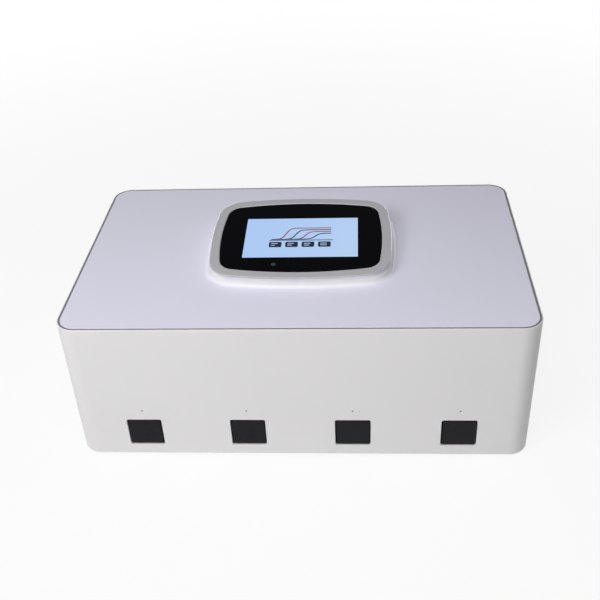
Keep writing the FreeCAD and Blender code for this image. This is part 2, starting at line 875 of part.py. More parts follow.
def make_top_cover():
    """The lid, with the hollow pod that carries the display moulded into it."""
    body = new_body("top_cover")
    depth = "pod_rise + cover_thickness + pod_half_depth * sin(pod_tilt) + 2"
    sketch = new_sketch(body, "pod_plan", offset="pod_plane", tilt="pod_tilt", sunk="bezel_thickness")
    add_pillow(sketch, "pod_half_width", "pod_half_depth")
    block = body.newObject("PartDesign::Pad", "pod_block")
    block.Profile = sketch
    bind(block, "Length", depth)
    bind(block, "TaperAngle", "pod_taper")
    block.Reversed = True
    doc.recompute()
    slack = 3.0
    lean = value("(%s) * tan(pod_taper)" % depth) + slack

    def slanted(edge):
        start, end = (vertex.Point for vertex in (edge.Vertexes[0], edge.Vertexes[-1]))
        level = abs(start.z - end.z) < slack
        return not level and abs(start.x - end.x) < lean and abs(start.y - end.y) < lean

    block = soften(body, "Fillet", block, "pod_corners", "ring_corner", slanted)

    sketch = new_sketch(body, "trim_plan", offset="cover_low")
    add_plan(sketch, "0")
    pocket(body, sketch, "pod_trim", "body_height")

    sketch = new_sketch(body, "cover_plan", offset="cover_low")
    add_plan(sketch, "cover_inset")
    plate = pad(body, sketch, "cover_plate", "cover_thickness")

    level = at_height("panel_top")
    within = edges_inside(value("half_width") / 2 + slack, value("half_depth") - 5 * slack)
    plate = soften(body, "Fillet", plate, "pod_foot", "pod_fillet",
                   lambda edge: level(edge) and within(edge))
    soften(body, "Fillet", plate, "cover_edge", "cover_round",
           lambda edge: level(edge) and wraps(edge, value("cover_inset")))

    sketch = new_sketch(body, "pod_cavity_plan", offset="pod_plane", tilt="pod_tilt",
                        sunk="bezel_thickness + flange_thickness")
    add_rounded(sketch, "0 - cavity_half_width", "cavity_half_width",
                "0 - cavity_half_depth", "cavity_half_depth", "ring_corner - pod_wall")
    pocket(body, sketch, "pod_cavity", depth)

    sketch = new_sketch(body, "flange_window_plan", offset="pod_plane", tilt="pod_tilt",
                        sunk="bezel_thickness")
    half_x = "cavity_half_width - flange_width"
    half_y = "cavity_half_depth - flange_width"
    add_rounded(sketch, minus(half_x), half_x, minus(half_y), half_y,
                "ring_corner - pod_wall - flange_width")
    pocket(body, sketch, "flange_window", "flange_thickness + 1")

    sketch = new_sketch(body, "flange_holes", offset="pod_plane", tilt="pod_tilt",
                        sunk="bezel_thickness")
    for x, y in display_screw_places():
        add_circle(sketch, x, y, "screw_radius + screw_hole_gap")
    pocket(body, sketch, "flange_drilling", "flange_thickness + 1")

    sketch = new_sketch(body, "skirt_plan", offset="skirt_low")
    add_plan(sketch, "cover_inset")
    add_plan(sketch, "cover_inset + skirt_thickness")
    pad(body, sketch, "skirt", "skirt_height")

    sketch = new_sketch(body, "boss_plan", offset="skirt_low")
    for x, y in cover_screw_places():
        add_circle(sketch, x, y, "boss_radius")
    pad(body, sketch, "bosses", "skirt_height")

    sketch = new_sketch(body, "boss_holes", offset="skirt_low")
    for x, y in cover_screw_places():
        add_circle(sketch, x, y, "screw_radius + screw_gap")
    pocket(body, sketch, "boss_drilling", "cover_screw_length - ledge_thickness + 0.5", reverse=True)
    return keep_part(body, "top_cover")


def make_gasket():
    body = new_body("perimeter_gasket")
    sketch = new_sketch(body, "gasket_plan", offset="gasket_low")
    add_plan(sketch, "rim_lip")
    add_plan(sketch, "shell_wall")
    pad(body, sketch, "gasket_ring", "gasket_height")
    return keep_part(body, "perimeter_gasket")


def make_feet():
    """Push-in rubber feet, each with a barb above the base."""
    feet = []
    for step, (x, y) in enumerate(foot_places(), start=1):
        name = "foot_%d" % step
        sole = doc.addObject("Part::Cone", name + "_sole")
        bind(sole, "Radius1", "foot_radius - foot_edge")
        bind(sole, "Radius2", "foot_radius")
        bind(sole, "Height", "foot_edge")
        pieces = [
            sole,
            cylinder(name + "_pad", "z", "foot_radius", "foot_edge", "foot_height - foot_edge"),
            cylinder(name + "_stem", "z", "foot_stem_radius", "foot_height", "base_thickness"),
            cylinder(name + "_barb", "z", "foot_barb_radius", "base_top", "foot_barb_height"),
        ]
        feet.append(place(fuse(name, pieces), x, y))
    return keep_part(group("rubber_feet", feet), "rubber_feet")


def make_casing_screws():
    screws = [
        screw("base_screw_%d" % step, "base_screw_length", x, y, "foot_height",
              Vector(1, 0, 0), "180")
        for step, (x, y) in enumerate(base_screw_places(), start=1)
    ]
    keep_part(group("base_screws", screws), "base_screws")
    screws = [
        screw("cover_screw_%d" % step, "cover_screw_length", x, y, "ledge_low",
              Vector(1, 0, 0), "180")
        for step, (x, y) in enumerate(cover_screw_places(), start=1)
    ]
    keep_part(group("cover_screws", screws), "cover_screws")


# Display, in its own frame: z 0 is the top of the ring, and y runs up the slope

def on_pod(item):
    return place(item, "0", "0", "pod_plane", Vector(1, 0, 0), "pod_tilt")


def display_screw_places():
    side = "bracket_half_width - 2.6"
    return [
        ("%d * (%s)" % (across, side), "%d * display_screw_pitch / 2" % along)
        for across in (-1, 1)
        for along in (-1, 1)
    ]


def make_bezel():
    body = new_body("display_bezel")
    sketch = new_sketch(body, "ring_plan", offset="bezel_seat")
    add_pillow(sketch, "pod_half_width", "pod_half_depth")
    ring = pad(body, sketch, "ring_block", "bezel_thickness")
    ring = soften(body, "Fillet", ring, "ring_corners", "ring_corner",
                  upright("pod_half_width", "pod_half_depth"))
    soften(body, "Fillet", ring, "ring_edge", "ring_round", at_height("0"))

    half_x = "glass_width / 2 + glass_gap"
    half_y = "glass_depth / 2 + glass_gap"
    sketch = new_sketch(body, "glass_pocket_plan", offset="glass_low")
    add_pillow(sketch, half_x, half_y)
    seat = pocket(body, sketch, "glass_pocket", "glass_thickness + glass_drop", reverse=True)
    seat = soften(body, "Fillet", seat, "pocket_corners", "glass_corner + glass_gap",
                  upright(half_x, half_y))
    top = at_height("0")
    within = edges_inside(value(half_x) + 1.0, value(half_y) + 1.0)
    soften(body, "Chamfer", seat, "ring_inner_edge", "ring_chamfer",
           lambda edge: top(edge) and within(edge))

    half_x = "glass_width / 2 - glass_bow_side - glass_seat"
    half_y = "glass_depth / 2 - glass_bow_long - glass_seat"
    sketch = new_sketch(body, "glass_window_plan", offset="glass_low")
    add_rounded(sketch, minus(half_x), half_x, minus(half_y), half_y, "glass_corner - glass_seat")
    pocket(body, sketch, "glass_window", "bezel_thickness")

    sketch = new_sketch(body, "bezel_holes", offset="bezel_seat")
    for x, y in display_screw_places():
        add_circle(sketch, x, y, "screw_radius + screw_gap")
    depth = "display_screw_length - bracket_thickness - flange_thickness + 0.1"
    pocket(body, sketch, "bezel_drilling", depth, reverse=True)
    return keep_part(on_pod(body), "display_bezel")


def make_glass():
    body = new_body("cover_glass")
    sketch = new_sketch(body, "glass_plan", offset="glass_low")
    add_pillow(sketch, "glass_width / 2", "glass_depth / 2")
    sheet_block = pad(body, sketch, "glass_sheet", "glass_thickness")
    soften(body, "Fillet", sheet_block, "glass_corners", "glass_corner",
           upright("glass_width / 2", "glass_depth / 2"))
    sketch = new_sketch(body, "indicator_hole_plan", offset="glass_low")
    add_circle(sketch, "0 - indicator_left", "0 - indicator_front", "indicator_radius + glass_gap / 2")
    pocket(body, sketch, "indicator_hole", "glass_thickness", reverse=True)
    return keep_part(on_pod(body), "cover_glass")


def make_indicator():
    across = ("0 - indicator_left", "0 - indicator_front")
    pipe = cylinder("indicator_lens", "z", "indicator_radius", "glass_low", "glass_thickness", across)
    collar = cylinder("indicator_collar", "z", "indicator_flange",
                      "glass_low - indicator_flange_thickness", "indicator_flange_thickness", across)
    return keep_part(on_pod(fuse("power_indicator", [pipe, collar])), "power_indicator")


def make_screen():
    """The display module: it fills the space between the glass and the bracket."""
    low = "screen_shift - screen_depth / 2"
    high = "screen_shift + screen_depth / 2"
    panel = box("screen_block", "0 - screen_width / 2", "screen_width / 2", low, high,
                "flange_under", "glass_low")
    return keep_part(on_pod(fuse("lcd_panel", [panel, screen_tab()])), "lcd_panel")


def screen_tab():
    """The strip along the module's rear edge that holds its connector."""
    rear = "screen_shift + screen_depth / 2"
    return box("screen_tab", "0 - screen_width / 4", "screen_width / 4", less(rear, "1"),
               more(rear, "glass_seat + 1"), "flange_under", "glass_low - 1.5")


def make_bracket():
    """Pressed plate that clamps the display module and carries its board on studs."""
    body = new_body("display_bracket")
    sketch = new_sketch(body, "bracket_plan", offset="bracket_low")
    add_rounded(sketch, "0 - bracket_half_width", "bracket_half_width",
                "0 - bracket_depth / 2", "bracket_depth / 2", "bracket_lap")
    window = "display_board_width / 2 - 12"
    add_rounded(sketch, minus(window), window, "0 - display_board_depth / 4",
                "display_board_depth / 4", "bracket_lap")
    pad(body, sketch, "bracket_sheet", "bracket_thickness")
    sketch = new_sketch(body, "stud_plan", offset="bracket_low")
    for across in (-1, 1):
        for along in (-1, 1):
            add_circle(sketch, "%d * (display_board_width / 2 - 5)" % across,
                       "%d * (display_board_depth / 2 - 5)" % along, "bracket_stud_radius")
    pad(body, sketch, "studs", "bracket_stud_height", reverse=True)
    sketch = new_sketch(body, "bracket_holes", offset="bracket_low")
    for x, y in display_screw_places():
        add_circle(sketch, x, y, "screw_radius + screw_hole_gap")
    pocket(body, sketch, "bracket_drilling", "bracket_thickness", reverse=True)
    return keep_part(on_pod(body), "display_bracket")


def make_display_board():
    low = "display_board_top - board_thickness"
    half_x = "display_board_width / 2"
    half_y = "display_board_depth / 2"
    chip = "display_board_depth / 5"
    pieces = [
        box("display_board_sheet", minus(half_x), half_x, minus(half_y), half_y,
            low, "display_board_top"),
        box("display_board_chip", minus(chip), chip, minus(chip), chip,
            less(low, "chip_package_height"), low),
        box("display_board_socket", "0 - cable_width / 2 - 2", "cable_width / 2 + 2",
            "cable_offset - 5", "cable_offset + 1", less(low, "chip_package_height"), low),
    ]
    return keep_part(on_pod(fuse("display_board", pieces)), "display_board")


def make_display_screws():
    screws = [
        screw("display_screw_%d" % step, "display_screw_length", x, y, "bracket_low",
              Vector(1, 0, 0), "180")
        for step, (x, y) in enumerate(display_screw_places(), start=1)
    ]
    return keep_part(on_pod(group("display_screws", screws)), "display_screws")


# Bays

def make_tray_front(number, middle):
    body = new_body("tray_front_%d" % number)
    half = "bay_width / 2 - front_gap"
    sketch = new_sketch(body, "front_plan_%d" % number, "XZ_Plane", "0 - front_inside")
    add_rounded(sketch, minus(half), half, "bay_low + front_gap",
                "bay_low + bay_height - front_gap", "front_corner")
    plate = pad(body, sketch, "front_block_%d" % number, "front_thickness")
    face = value("front_outside")

    def rim(edge):
        edge_box = edge.BoundBox
        return abs(edge_box.YMin - face) < 1e-4 and abs(edge_box.YMax - face) < 1e-4

    soften(body, "Chamfer", plate, "front_bevel_%d" % number, "front_bevel", rim)
    return keep_part(place(body, middle), "tray_front_%d" % number)


def make_chip_tray(number, middle):
    """The sliding carriage: a chip recess on top and rack teeth below."""
    body = new_body("chip_tray_%d" % number)
    half = "tray_width / 2"
    sketch = new_sketch(body, "tray_plan_%d" % number, offset="tray_low")
    add_rectangle(sketch, minus(half), half, "front_inside", "tray_back")
    pad(body, sketch, "tray_block_%d" % number, "tray_height")

    sketch = new_sketch(body, "recess_plan_%d" % number, offset="chip_floor")
    add_rounded(sketch, "0 - chip_width / 2", "chip_width / 2", "chip_front", "chip_back", "chip_corner")
    pocket(body, sketch, "chip_recess_%d" % number, "chip_depth", reverse=True)

    sketch = new_sketch(body, "grip_plan_%d" % number, offset="chip_floor")
    grip_place = "(chip_front + chip_back) / 2"
    for sign in ("-1", "1"):
        add_circle(sketch, "%s * (tray_width / 2 + 1)" % sign, grip_place, "grip_radius")
    pocket(body, sketch, "grip_notches_%d" % number, "chip_depth", reverse=True)

    sketch = new_sketch(body, "window_plan_%d" % number, offset="tray_low")
    add_rounded(sketch, "0 - window_size / 2", "window_size / 2", "window_front",
                "window_front + window_size", "chip_corner")
    pocket(body, sketch, "window_%d" % number, "tray_height", reverse=True)

    sketch = new_sketch(body, "tooth_plan_%d" % number, "YZ_Plane", "rack_left")
    lean = "tan(pressure_angle)"
    tooth_half = "gear_pitch / 4 - gear_backlash / 2"
    first = "pinion_place - 1.5 * gear_pitch"
    tip_half = "%s - gear_module * %s" % (tooth_half, lean)
    root_half = "%s + gear_dedendum * %s" % (tooth_half, lean)
    tip = "tray_low - gear_dedendum - gear_module"
    add_polygon(sketch, [
        (less(first, root_half), "tray_low"),
        (less(first, tip_half), tip),
        (more(first, tip_half), tip),
        (more(first, root_half), "tray_low"),
    ])
    tooth = pad(body, sketch, "rack_tooth_%d" % number, "gear_width")
    travel = value("tray_travel + 2 * rack_overhang * gear_pitch") / value("gear_pitch")
    rack = body.newObject("PartDesign::LinearPattern", "rack_teeth_%d" % number)
    rack.Originals = [tooth]
    rack.Direction = (origin_part(body, "Y_Axis"), [""])
    rack.Occurrences = math.floor(travel) + 1
    rack.Length = math.floor(travel) * value("gear_pitch")
    bind(rack, "Length", "%d * gear_pitch" % math.floor(travel))
    body.Tip = rack
    doc.recompute()
    return keep_part(place(body, middle), "chip_tray_%d" % number)


def involute_face():
    """The pinion's outline in its own plane, with one tooth on the first axis."""
    pitch = value("pitch_radius")
    angle = math.radians(value("pressure_angle"))
    base = pitch * math.cos(angle)
    root = pitch - value("gear_dedendum")
    tip = pitch + value("gear_module")
    count = int(value("pinion_teeth"))
    half = (value("gear_pitch") / 2 - value("gear_backlash")) / 2 / pitch
    opening = math.tan(angle) - angle

    def flank(radius):
        slope = math.acos(base / radius)
        return half + opening - (math.tan(slope) - slope)

    def at(radius, turn):
        return Vector(radius * math.cos(turn), radius * math.sin(turn), 0)

    start = max(base, root) + 1e-6
    middle = (start + tip) / 2
    edges = []
    step = 2 * math.pi / count
    for tooth in range(count):
        turn = tooth * step
        foot = flank(start)
        corners = [at(root, turn - foot), at(start, turn - foot), at(tip, turn - flank(tip)),
                   at(tip, turn + flank(tip)), at(start, turn + foot), at(root, turn + foot)]
        edges.append(Part.LineSegment(corners[0], corners[1]).toShape())
        edges.append(Part.Arc(corners[1], at(middle, turn - flank(middle)), corners[2]).toShape())
        edges.append(Part.Arc(corners[2], at(tip, turn), corners[3]).toShape())
        edges.append(Part.Arc(corners[3], at(middle, turn + flank(middle)), corners[4]).toShape())
        edges.append(Part.LineSegment(corners[4], corners[5]).toShape())
        valley = at(root, turn + step / 2)
        edges.append(Part.Arc(corners[5], valley, at(root, turn + step - foot)).toShape())
    return Part.Face(Part.Wire(edges))


def make_pinion(number, middle):
    """Drive gear on its shaft: the axis runs along X under the rack."""
    gear = doc.addObject("Part::Feature", "pinion_gear_%d" % number)
    gear.Shape = involute_face().extrude(Vector(0, 0, value("gear_width")))
    gear.Placement = Placement(Vector(value("rack_left"), 0, 0), Rotation(Vector(0, 1, 0), 90))
    bind(gear, "Placement.Base.x", "rack_left")
    hub_start = "rack_left + gear_width"
    shaft_length = "frame_outside + shaft_depth - rack_left + 1"
    pieces = [
        gear,
        cylinder("pinion_hub_%d" % number, "x", "shaft_hub_radius", hub_start,
                 less("frame_inside - tray_gap", hub_start)),
        cylinder("pinion_shaft_%d" % number, "x", "shaft_radius", "rack_left - 1", shaft_length),
    ]
    whole = fuse("drive_pinion_%d" % number, pieces)
    return keep_part(place(whole, middle, "pinion_place", "pinion_height"), "drive_pinion_%d" % number)


def make_motor(number, middle):
    name = "drive_motor_%d" % number
    half = "gearbox_width / 2"
    gearbox = box(name + "_gearbox", "frame_outside", "frame_outside + gearbox_length",
                  minus(half), half, "0 - gearbox_height / 2", "gearbox_height / 2")
    can = cylinder(name + "_can", "x", "motor_radius", "frame_outside + gearbox_length", "motor_length")
    flats = box(name + "_flats", "frame_outside + gearbox_length",
                "frame_outside + gearbox_length + motor_length", "0 - motor_radius",
                "motor_radius", "0 - gearbox_height / 2", "gearbox_height / 2")
    can_flat = doc.addObject("Part::Common", name + "_can_flat")
    can_flat.Base = can
    can_flat.Tool = flats
    tail = cylinder(name + "_tail", "x", "shaft_radius", "frame_outside + gearbox_length + motor_length",
                    "shaft_radius")
    bore = cylinder(name + "_bore", "x", "shaft_radius + shaft_gap", "frame_outside - 1",
                    "shaft_depth + 1.2")
    whole = cut(name, fuse(name + "_body", [gearbox, can_flat, tail]), [bore])
    return keep_part(place(whole, middle, "pinion_place", "pinion_height"), name)


def make_bay_frame(number, middle):
    """Moulded chassis of one bay: floor, two walls with guide ledges, and a rear wall."""
    name = "bay_frame_%d" % number
    body = new_body(name)
    sketch = new_sketch(body, "frame_plan_%d" % number, offset="base_top")
    add_rectangle(sketch, "0 - frame_outside", "frame_outside", "frame_front", "frame_back")
    pad(body, sketch, "frame_block_%d" % number, "frame_top - base_top")

    sketch = new_sketch(body, "inside_plan_%d" % number, offset="frame_deck")
    inner = less("frame_inside", "guide_width")
    add_rectangle(sketch, minus(inner), inner, "frame_front - 1", "frame_back - frame_wall")
    pocket(body, sketch, "frame_inside_%d" % number, "frame_top", reverse=True)

    sketch = new_sketch(body, "guide_plan_%d" % number, "XZ_Plane", "0 - frame_front + 1")
    lower = "tray_low - tray_gap"
    upper = "tray_top + tray_gap"
    side = "frame_inside"
    add_rectangle(sketch, minus(side), side, "frame_deck", less(lower, "guide_thickness"))
    add_rectangle(sketch, minus(side), side, lower, upper)
    add_rectangle(sketch, minus(side), side, more(upper, "guide_thickness"), "frame_top + 1")
    pocket(body, sketch, "guide_slots_%d" % number, "frame_length - frame_wall + 1")

    sketch = new_sketch(body, "shaft_hole_plan_%d" % number, "YZ_Plane", "frame_inside - 1")
    add_circle(sketch, "pinion_place", "pinion_height", "shaft_radius + screw_hole_gap")
    pocket(body, sketch, "shaft_hole_%d" % number, "frame_wall + 2", reverse=True)

    sketch = new_sketch(body, "frame_screw_plan_%d" % number, offset="base_top")
    for y in frame_screw_places():
        add_circle(sketch, "0", y, "screw_radius + screw_hole_gap")
    pocket(body, sketch, "frame_screw_holes_%d" % number, "frame_floor", reverse=True)
    return keep_part(place(body, middle), name)


def frame_screw_places():
    return ["frame_back - frame_wall - 12", "frame_back - frame_wall - 44"]


def make_optics(number, middle):
    """Detector head that bridges the frame's walls, with its lens barrel over the chip."""
    name = "optics_head_%d" % number
    barrel_place = "window_front + window_size / 2"
    block = box(name + "_block", "0 - frame_outside", "frame_outside", "optics_front",
                "optics_front + optics_length", "frame_top", "frame_top + optics_height")
    block_round = doc.addObject("Part::Fillet", name + "_round")
    block_round.Base = block
    doc.recompute()
    top = value("frame_top + optics_height")
    radius = value("optics_round")
    block_round.Edges = [
        (step, radius, radius)
        for step, edge in enumerate(block.Shape.Edges, start=1)
        if edge.BoundBox.ZMin > top - 1e-4
    ]
    barrel_low = "tray_top + lens_gap"
    barrel = cylinder(name + "_barrel", "z", "lens_radius", barrel_low,
                      less("frame_top + 2", barrel_low), ("0", barrel_place))
    eye = cylinder(name + "_eye", "z", "lens_radius * 0.6", less(barrel_low, "1"), "3",
                   ("0", barrel_place))
    head = cut(name, fuse(name + "_body", [block_round, barrel]), [eye])
    return keep_part(place(head, middle), name)


def make_heater(number, middle):
    """Heater block under the tray's window, on four legs of its holder."""
    name = "heater_block_%d" % number
    right = "rack_left - 1"
    left = less(right, "heater_size")
    front = "window_front + window_size / 2 - heater_size / 2"
    top = "tray_low - heater_gap"
    pieces = [
        box(name + "_holder", left, right, front, more(front, "heater_size"),
            "frame_deck", "frame_deck + heater_size / 2"),
        box(name + "_plate", left, right, front, more(front, "heater_size"),
            less(top, "heater_size / 4"), top),
        cylinder(name + "_neck", "z", "heater_size / 3", "frame_deck", less(top, "frame_deck + 1"),
                 (less(right, "heater_size / 2"), more(front, "heater_size / 2"))),
    ]
    return keep_part(place(fuse(name, pieces), middle), name)


def make_status_lights():
    lights = []
    for number, middle in enumerate(bay_places(), start=1):
        name = "status_light_%d" % number
        length = "shell_wall - light_gap"
        pipe = cylinder(name + "_pipe", "y", "light_radius", "light_gap - half_depth", length,
                        (middle, "light_middle"))
        collar = cylinder(name + "_collar", "y", "light_flange", "0 - inner_depth",
                          "light_flange_thickness", (middle, "light_middle"))
        lights.append(fuse(name, [pipe, collar]))
    return keep_part(group("status_lights", lights), "status_lights")


# Electronics

def make_backplane():
    """Long board behind the bays, with one socket for each."""
    half = "backplane_side"
    rear = "backplane_front + board_thickness"
    pieces = [
        box("backplane_sheet", minus(half), half, "backplane_front", rear,
            "base_top", "base_top + backplane_height")
    ]
    for number, middle in enumerate(bay_places(), start=1):
        pieces.append(box(
            "backplane_plug_%d" % number,
            less(middle, "backplane_plug_width / 2"), more(middle, "backplane_plug_width / 2"),
            rear, more(rear, "backplane_plug_depth"),
            "base_top + backplane_height / 2 - 5", "base_top + backplane_height / 2 + 5"))
    return keep_part(fuse("backplane_board", pieces), "backplane_board")


def sink_places():
    middle_x = "(board_left + board_right) / 2"
    middle_y = "(main_board_front + board_back) / 2"
    return middle_x, middle_y


def make_main_board():
    middle_x, middle_y = sink_places()
    package = "sink_size / 2 - 5"
    top = "board_top"
    pieces = [
        box("main_board_sheet", "board_left", "board_right", "main_board_front", "board_back",
            "standoff_top", top),
        box("main_board_package", less(middle_x, package), more(middle_x, package),
            less(middle_y, package), more(middle_y, package), top, more(top, "chip_package_height")),
        box("main_board_socket", "0 - cable_width / 2 - 2", "cable_width / 2 + 2",
            "main_board_front + 1", "main_board_front + 7", top, more(top, "4")),
    ]
    for step in range(4):
        left = "board_left + 14 + %d * 16" % step
        pieces.append(box("main_board_coil_%d" % step, left, more(left, "10"),
                          "board_back - 24", "board_back - 14", top, more(top, "7")))
    return keep_part(fuse("main_board", pieces), "main_board")


def make_heat_sink():
    middle_x, middle_y = sink_places()
    half = "sink_size / 2"
    low = "board_top + chip_package_height"
    pieces = [
        box("sink_base", less(middle_x, half), more(middle_x, half), less(middle_y, half),
            more(middle_y, half), low, more(low, "sink_base"))
    ]
    count = 8
    for step in range(count):
        left = "%s - %s + %d * (sink_size - sink_fin) / %d" % (middle_x, half, step, count - 1)
        pieces.append(box("sink_fin_%d" % step, left, more(left, "sink_fin"),
                          less(middle_y, half), more(middle_y, half), low, more(low, "sink_height")))
    return keep_part(fuse("heat_sink", pieces), "heat_sink")


def make_battery():
    body = new_body("battery_pack")
    sketch = new_sketch(body, "battery_plan", offset="base_top")
    add_rounded(sketch, "battery_left", "battery_left + battery_width", "battery_front",
                "battery_back", "battery_round")
    pad(body, sketch, "battery_block", "battery_height")
    return keep_part(body, "battery_pack")


def make_strap():
    """Steel strap over the battery, with a screwed foot on each side."""
    body = new_body("battery_strap")
    middle = "(battery_front + battery_back) / 2"
    sketch = new_sketch(body, "strap_profile", "XZ_Plane", "0 - (%s) + strap_width / 2" % middle)
    thick = "strap_thickness"
    left = "battery_left"
    right = "battery_left + battery_width"
    foot_left = less(left, "battery_side_gap - 1")
    add_polygon(sketch, [
        (foot_left, "base_top"),
        (left, "base_top"),
        (left, "battery_top"),
        (right, "battery_top"),
        (right, "base_top"),
        (more(right, "strap_foot"), "base_top"),
        (more(right, "strap_foot"), more("base_top", thick)),
        (more(right, thick), more("base_top", thick)),
        (more(right, thick), more("battery_top", thick)),
        (less(left, thick), more("battery_top", thick)),
        (less(left, thick), more("base_top", thick)),
        (foot_left, more("base_top", thick)),
    ])
    pad(body, sketch, "strap_bend", "strap_width", reverse=True)
    return keep_part(body, "battery_strap")


def flat_cable(name, route, x_middle):
    """Ribbon along a route of (y, z) points, bent round each corner with one radius."""
    half = value("cable_thickness") / 2
    bend = value("cable_bend")
    points = [Vector(0, value(y), value(z)) for y, z in route]
    edges = []
    start = points[0]
    for before, corner, after in zip(points, points[1:], points[2:]):
        into = (corner - before).normalize()
        away = (after - corner).normalize()
        turn = into.getAngle(away)
        reach = bend * math.tan(turn / 2)
        first = corner - into * reach
        last = corner + away * reach
        inward = (away - into).normalize()
        middle = corner + inward * (bend / math.cos(turn / 2) - bend)
        edges.append(Part.LineSegment(start, first).toShape())
        edges.append(Part.Arc(first, middle, last).toShape())
        start = last
    edges.append(Part.LineSegment(start, points[-1]).toShape())
    run = (points[1] - points[0]).normalize()
    side = run.cross(Vector(1, 0, 0)) * half
    width = value("cable_width")
    across = Vector(width, 0, 0)
    corner = points[0] - side - across / 2
    section = Part.makePolygon(
        [corner, corner + across, corner + across + side * 2, corner + side * 2, corner])
    ribbon = Part.Wire(edges).makePipeShell([section], True, False)
    cable = doc.addObject("Part::Feature", name)
    cable.Shape = ribbon
    cable.Placement = Placement(Vector(value(x_middle), 0, 0), Rotation())
    return keep_part(cable, name)


def make_cables():
    board_under = "pod_plane + (display_board_top - board_thickness - chip_package_height) * cos(pod_tilt)"
    start_height = "%s + cable_offset * sin(pod_tilt)" % board_under
    drop = "main_board_front + 4"
    flat_cable("display_cable", [
        (more("cable_offset", "0"), less(start_height, "0.6")),
        (more("cable_offset", "0"), "panel_top - 30"),
        (drop, "panel_top - 50"),
        (drop, "board_top + 4.1"),
    ], "0")
    flat_cable("backplane_cable", [
        ("backplane_front + board_thickness", "base_top + backplane_height - 6"),
        ("backplane_front + board_thickness + 12", "base_top + backplane_height - 6"),
        ("main_board_front + 12", "board_top + 0.35"),
        ("main_board_front + 24", "board_top + 0.35"),
    ], "board_left + 20")


# Fan

def make_fan_frame():
    """Square duct with a motor plate on four struts near the wall."""
    left = "fan_side - fan_size / 2"
    right = "fan_side + fan_size / 2"
    low = "fan_height - fan_size / 2"
    high = "fan_height + fan_size / 2"
    across = ("fan_side", "fan_height")
    block = box("fan_block", left, right, "fan_front", "inner_depth", low, high)
    bore = cylinder("fan_duct", "y", "fan_bore", "fan_front - 1", "fan_depth + 2", across)
    shell = cut("fan_shell", block, [bore])
    plate_front = "inner_depth - fan_plate"
    half = "fan_strut / 2"
    struts = [
        box("fan_strut_across", "fan_side - fan_bore - 1", "fan_side + fan_bore + 1",
            plate_front, "inner_depth", less("fan_height", half), more("fan_height", half)),
        box("fan_strut_up", less("fan_side", half), more("fan_side", half),
            plate_front, "inner_depth", "fan_height - fan_bore - 1", "fan_height + fan_bore + 1"),
    ]
    plate = cylinder("fan_motor_plate", "y", "fan_hub", plate_front, "fan_plate", across)
    post = cylinder("fan_bearing_post", "y", "fan_shaft * 3", "inner_depth - fan_plate - 9", "10", across)
    hole = cylinder("fan_bearing_bore", "y", "fan_shaft + shaft_gap", "fan_front", "fan_depth", across)
    whole = cut("fan_frame", fuse("fan_solid", [shell, plate, post] + struts), [hole])
    return keep_part(whole, "fan_frame")


def make_fan_rotor():
    """Hub cup with pitched blades, on a shaft that runs in the frame's bearing post."""
    body = new_body("fan_rotor")
    back = "0 - fan_plate - 1"
    front = "0 - fan_depth + 2"
    sketch = new_sketch(body, "hub_plan", "XZ_Plane", minus(back))
    add_circle(sketch, "0", "0", "fan_hub")
    pad(body, sketch, "hub", less(back, front))
    sketch = new_sketch(body, "hub_hollow_plan", "XZ_Plane", minus(back))
    add_circle(sketch, "0", "0", "fan_hub - 2")
    pocket(body, sketch, "hub_hollow", "10", reverse=True)
    sketch = new_sketch(body, "shaft_plan", "XZ_Plane", less(minus(back), "0.5"))
    add_circle(sketch, "0", "0", "fan_shaft")
    pad(body, sketch, "rotor_shaft", "fan_shaft_length")
    sketch = new_sketch(body, "blade_plan", "YZ_Plane", "fan_hub - 1")
    middle = "(%s) / 2" % more(back, front)
    add_blade(sketch, middle)
    blade = pad(body, sketch, "blade", "fan_bore - fan_tip_gap - fan_hub + 1")
    ring = body.newObject("PartDesign::PolarPattern", "blades")
    ring.Originals = [blade]
    ring.Axis = (origin_part(body, "Y_Axis"), [""])
    ring.Angle = 360
    ring.Occurrences = int(value("blade_count"))
    body.Tip = ring
    doc.recompute()
    return keep_part(place(body, "fan_side", "inner_depth", "fan_height"), "fan_rotor")


def add_blade(sketch, middle):
    """A pitched blade's section, seen along its length."""
    half_run = "blade_chord / 2"
    half_thick = "blade_thickness / 2"
    corners = []
    for along, over in ((-1, -1), (1, -1), (1, 1), (-1, 1)):
        run = "%d * %s" % (along, half_run)
        rise = "%d * %s" % (over, half_thick)
        corners.append((
            "%s + (%s) * cos(blade_pitch) - (%s) * sin(blade_pitch)" % (middle, run, rise),
            "(%s) * sin(blade_pitch) + (%s) * cos(blade_pitch)" % (run, rise),
        ))
    add_polygon(sketch, corners)


# Rear connectors

def port_screw_places():
    """Screws near the corners of the connector panel, outside its window."""
    inset = "port_lap / 2"
    return [
        (x, z)
        for x in (less("0 - port_left", inset), more("port_width - port_left", inset))
        for z in ("port_low + 6", "port_low + port_height - 6")
    ]


def from_port_left(distance):
    return "%s - port_left" % distance


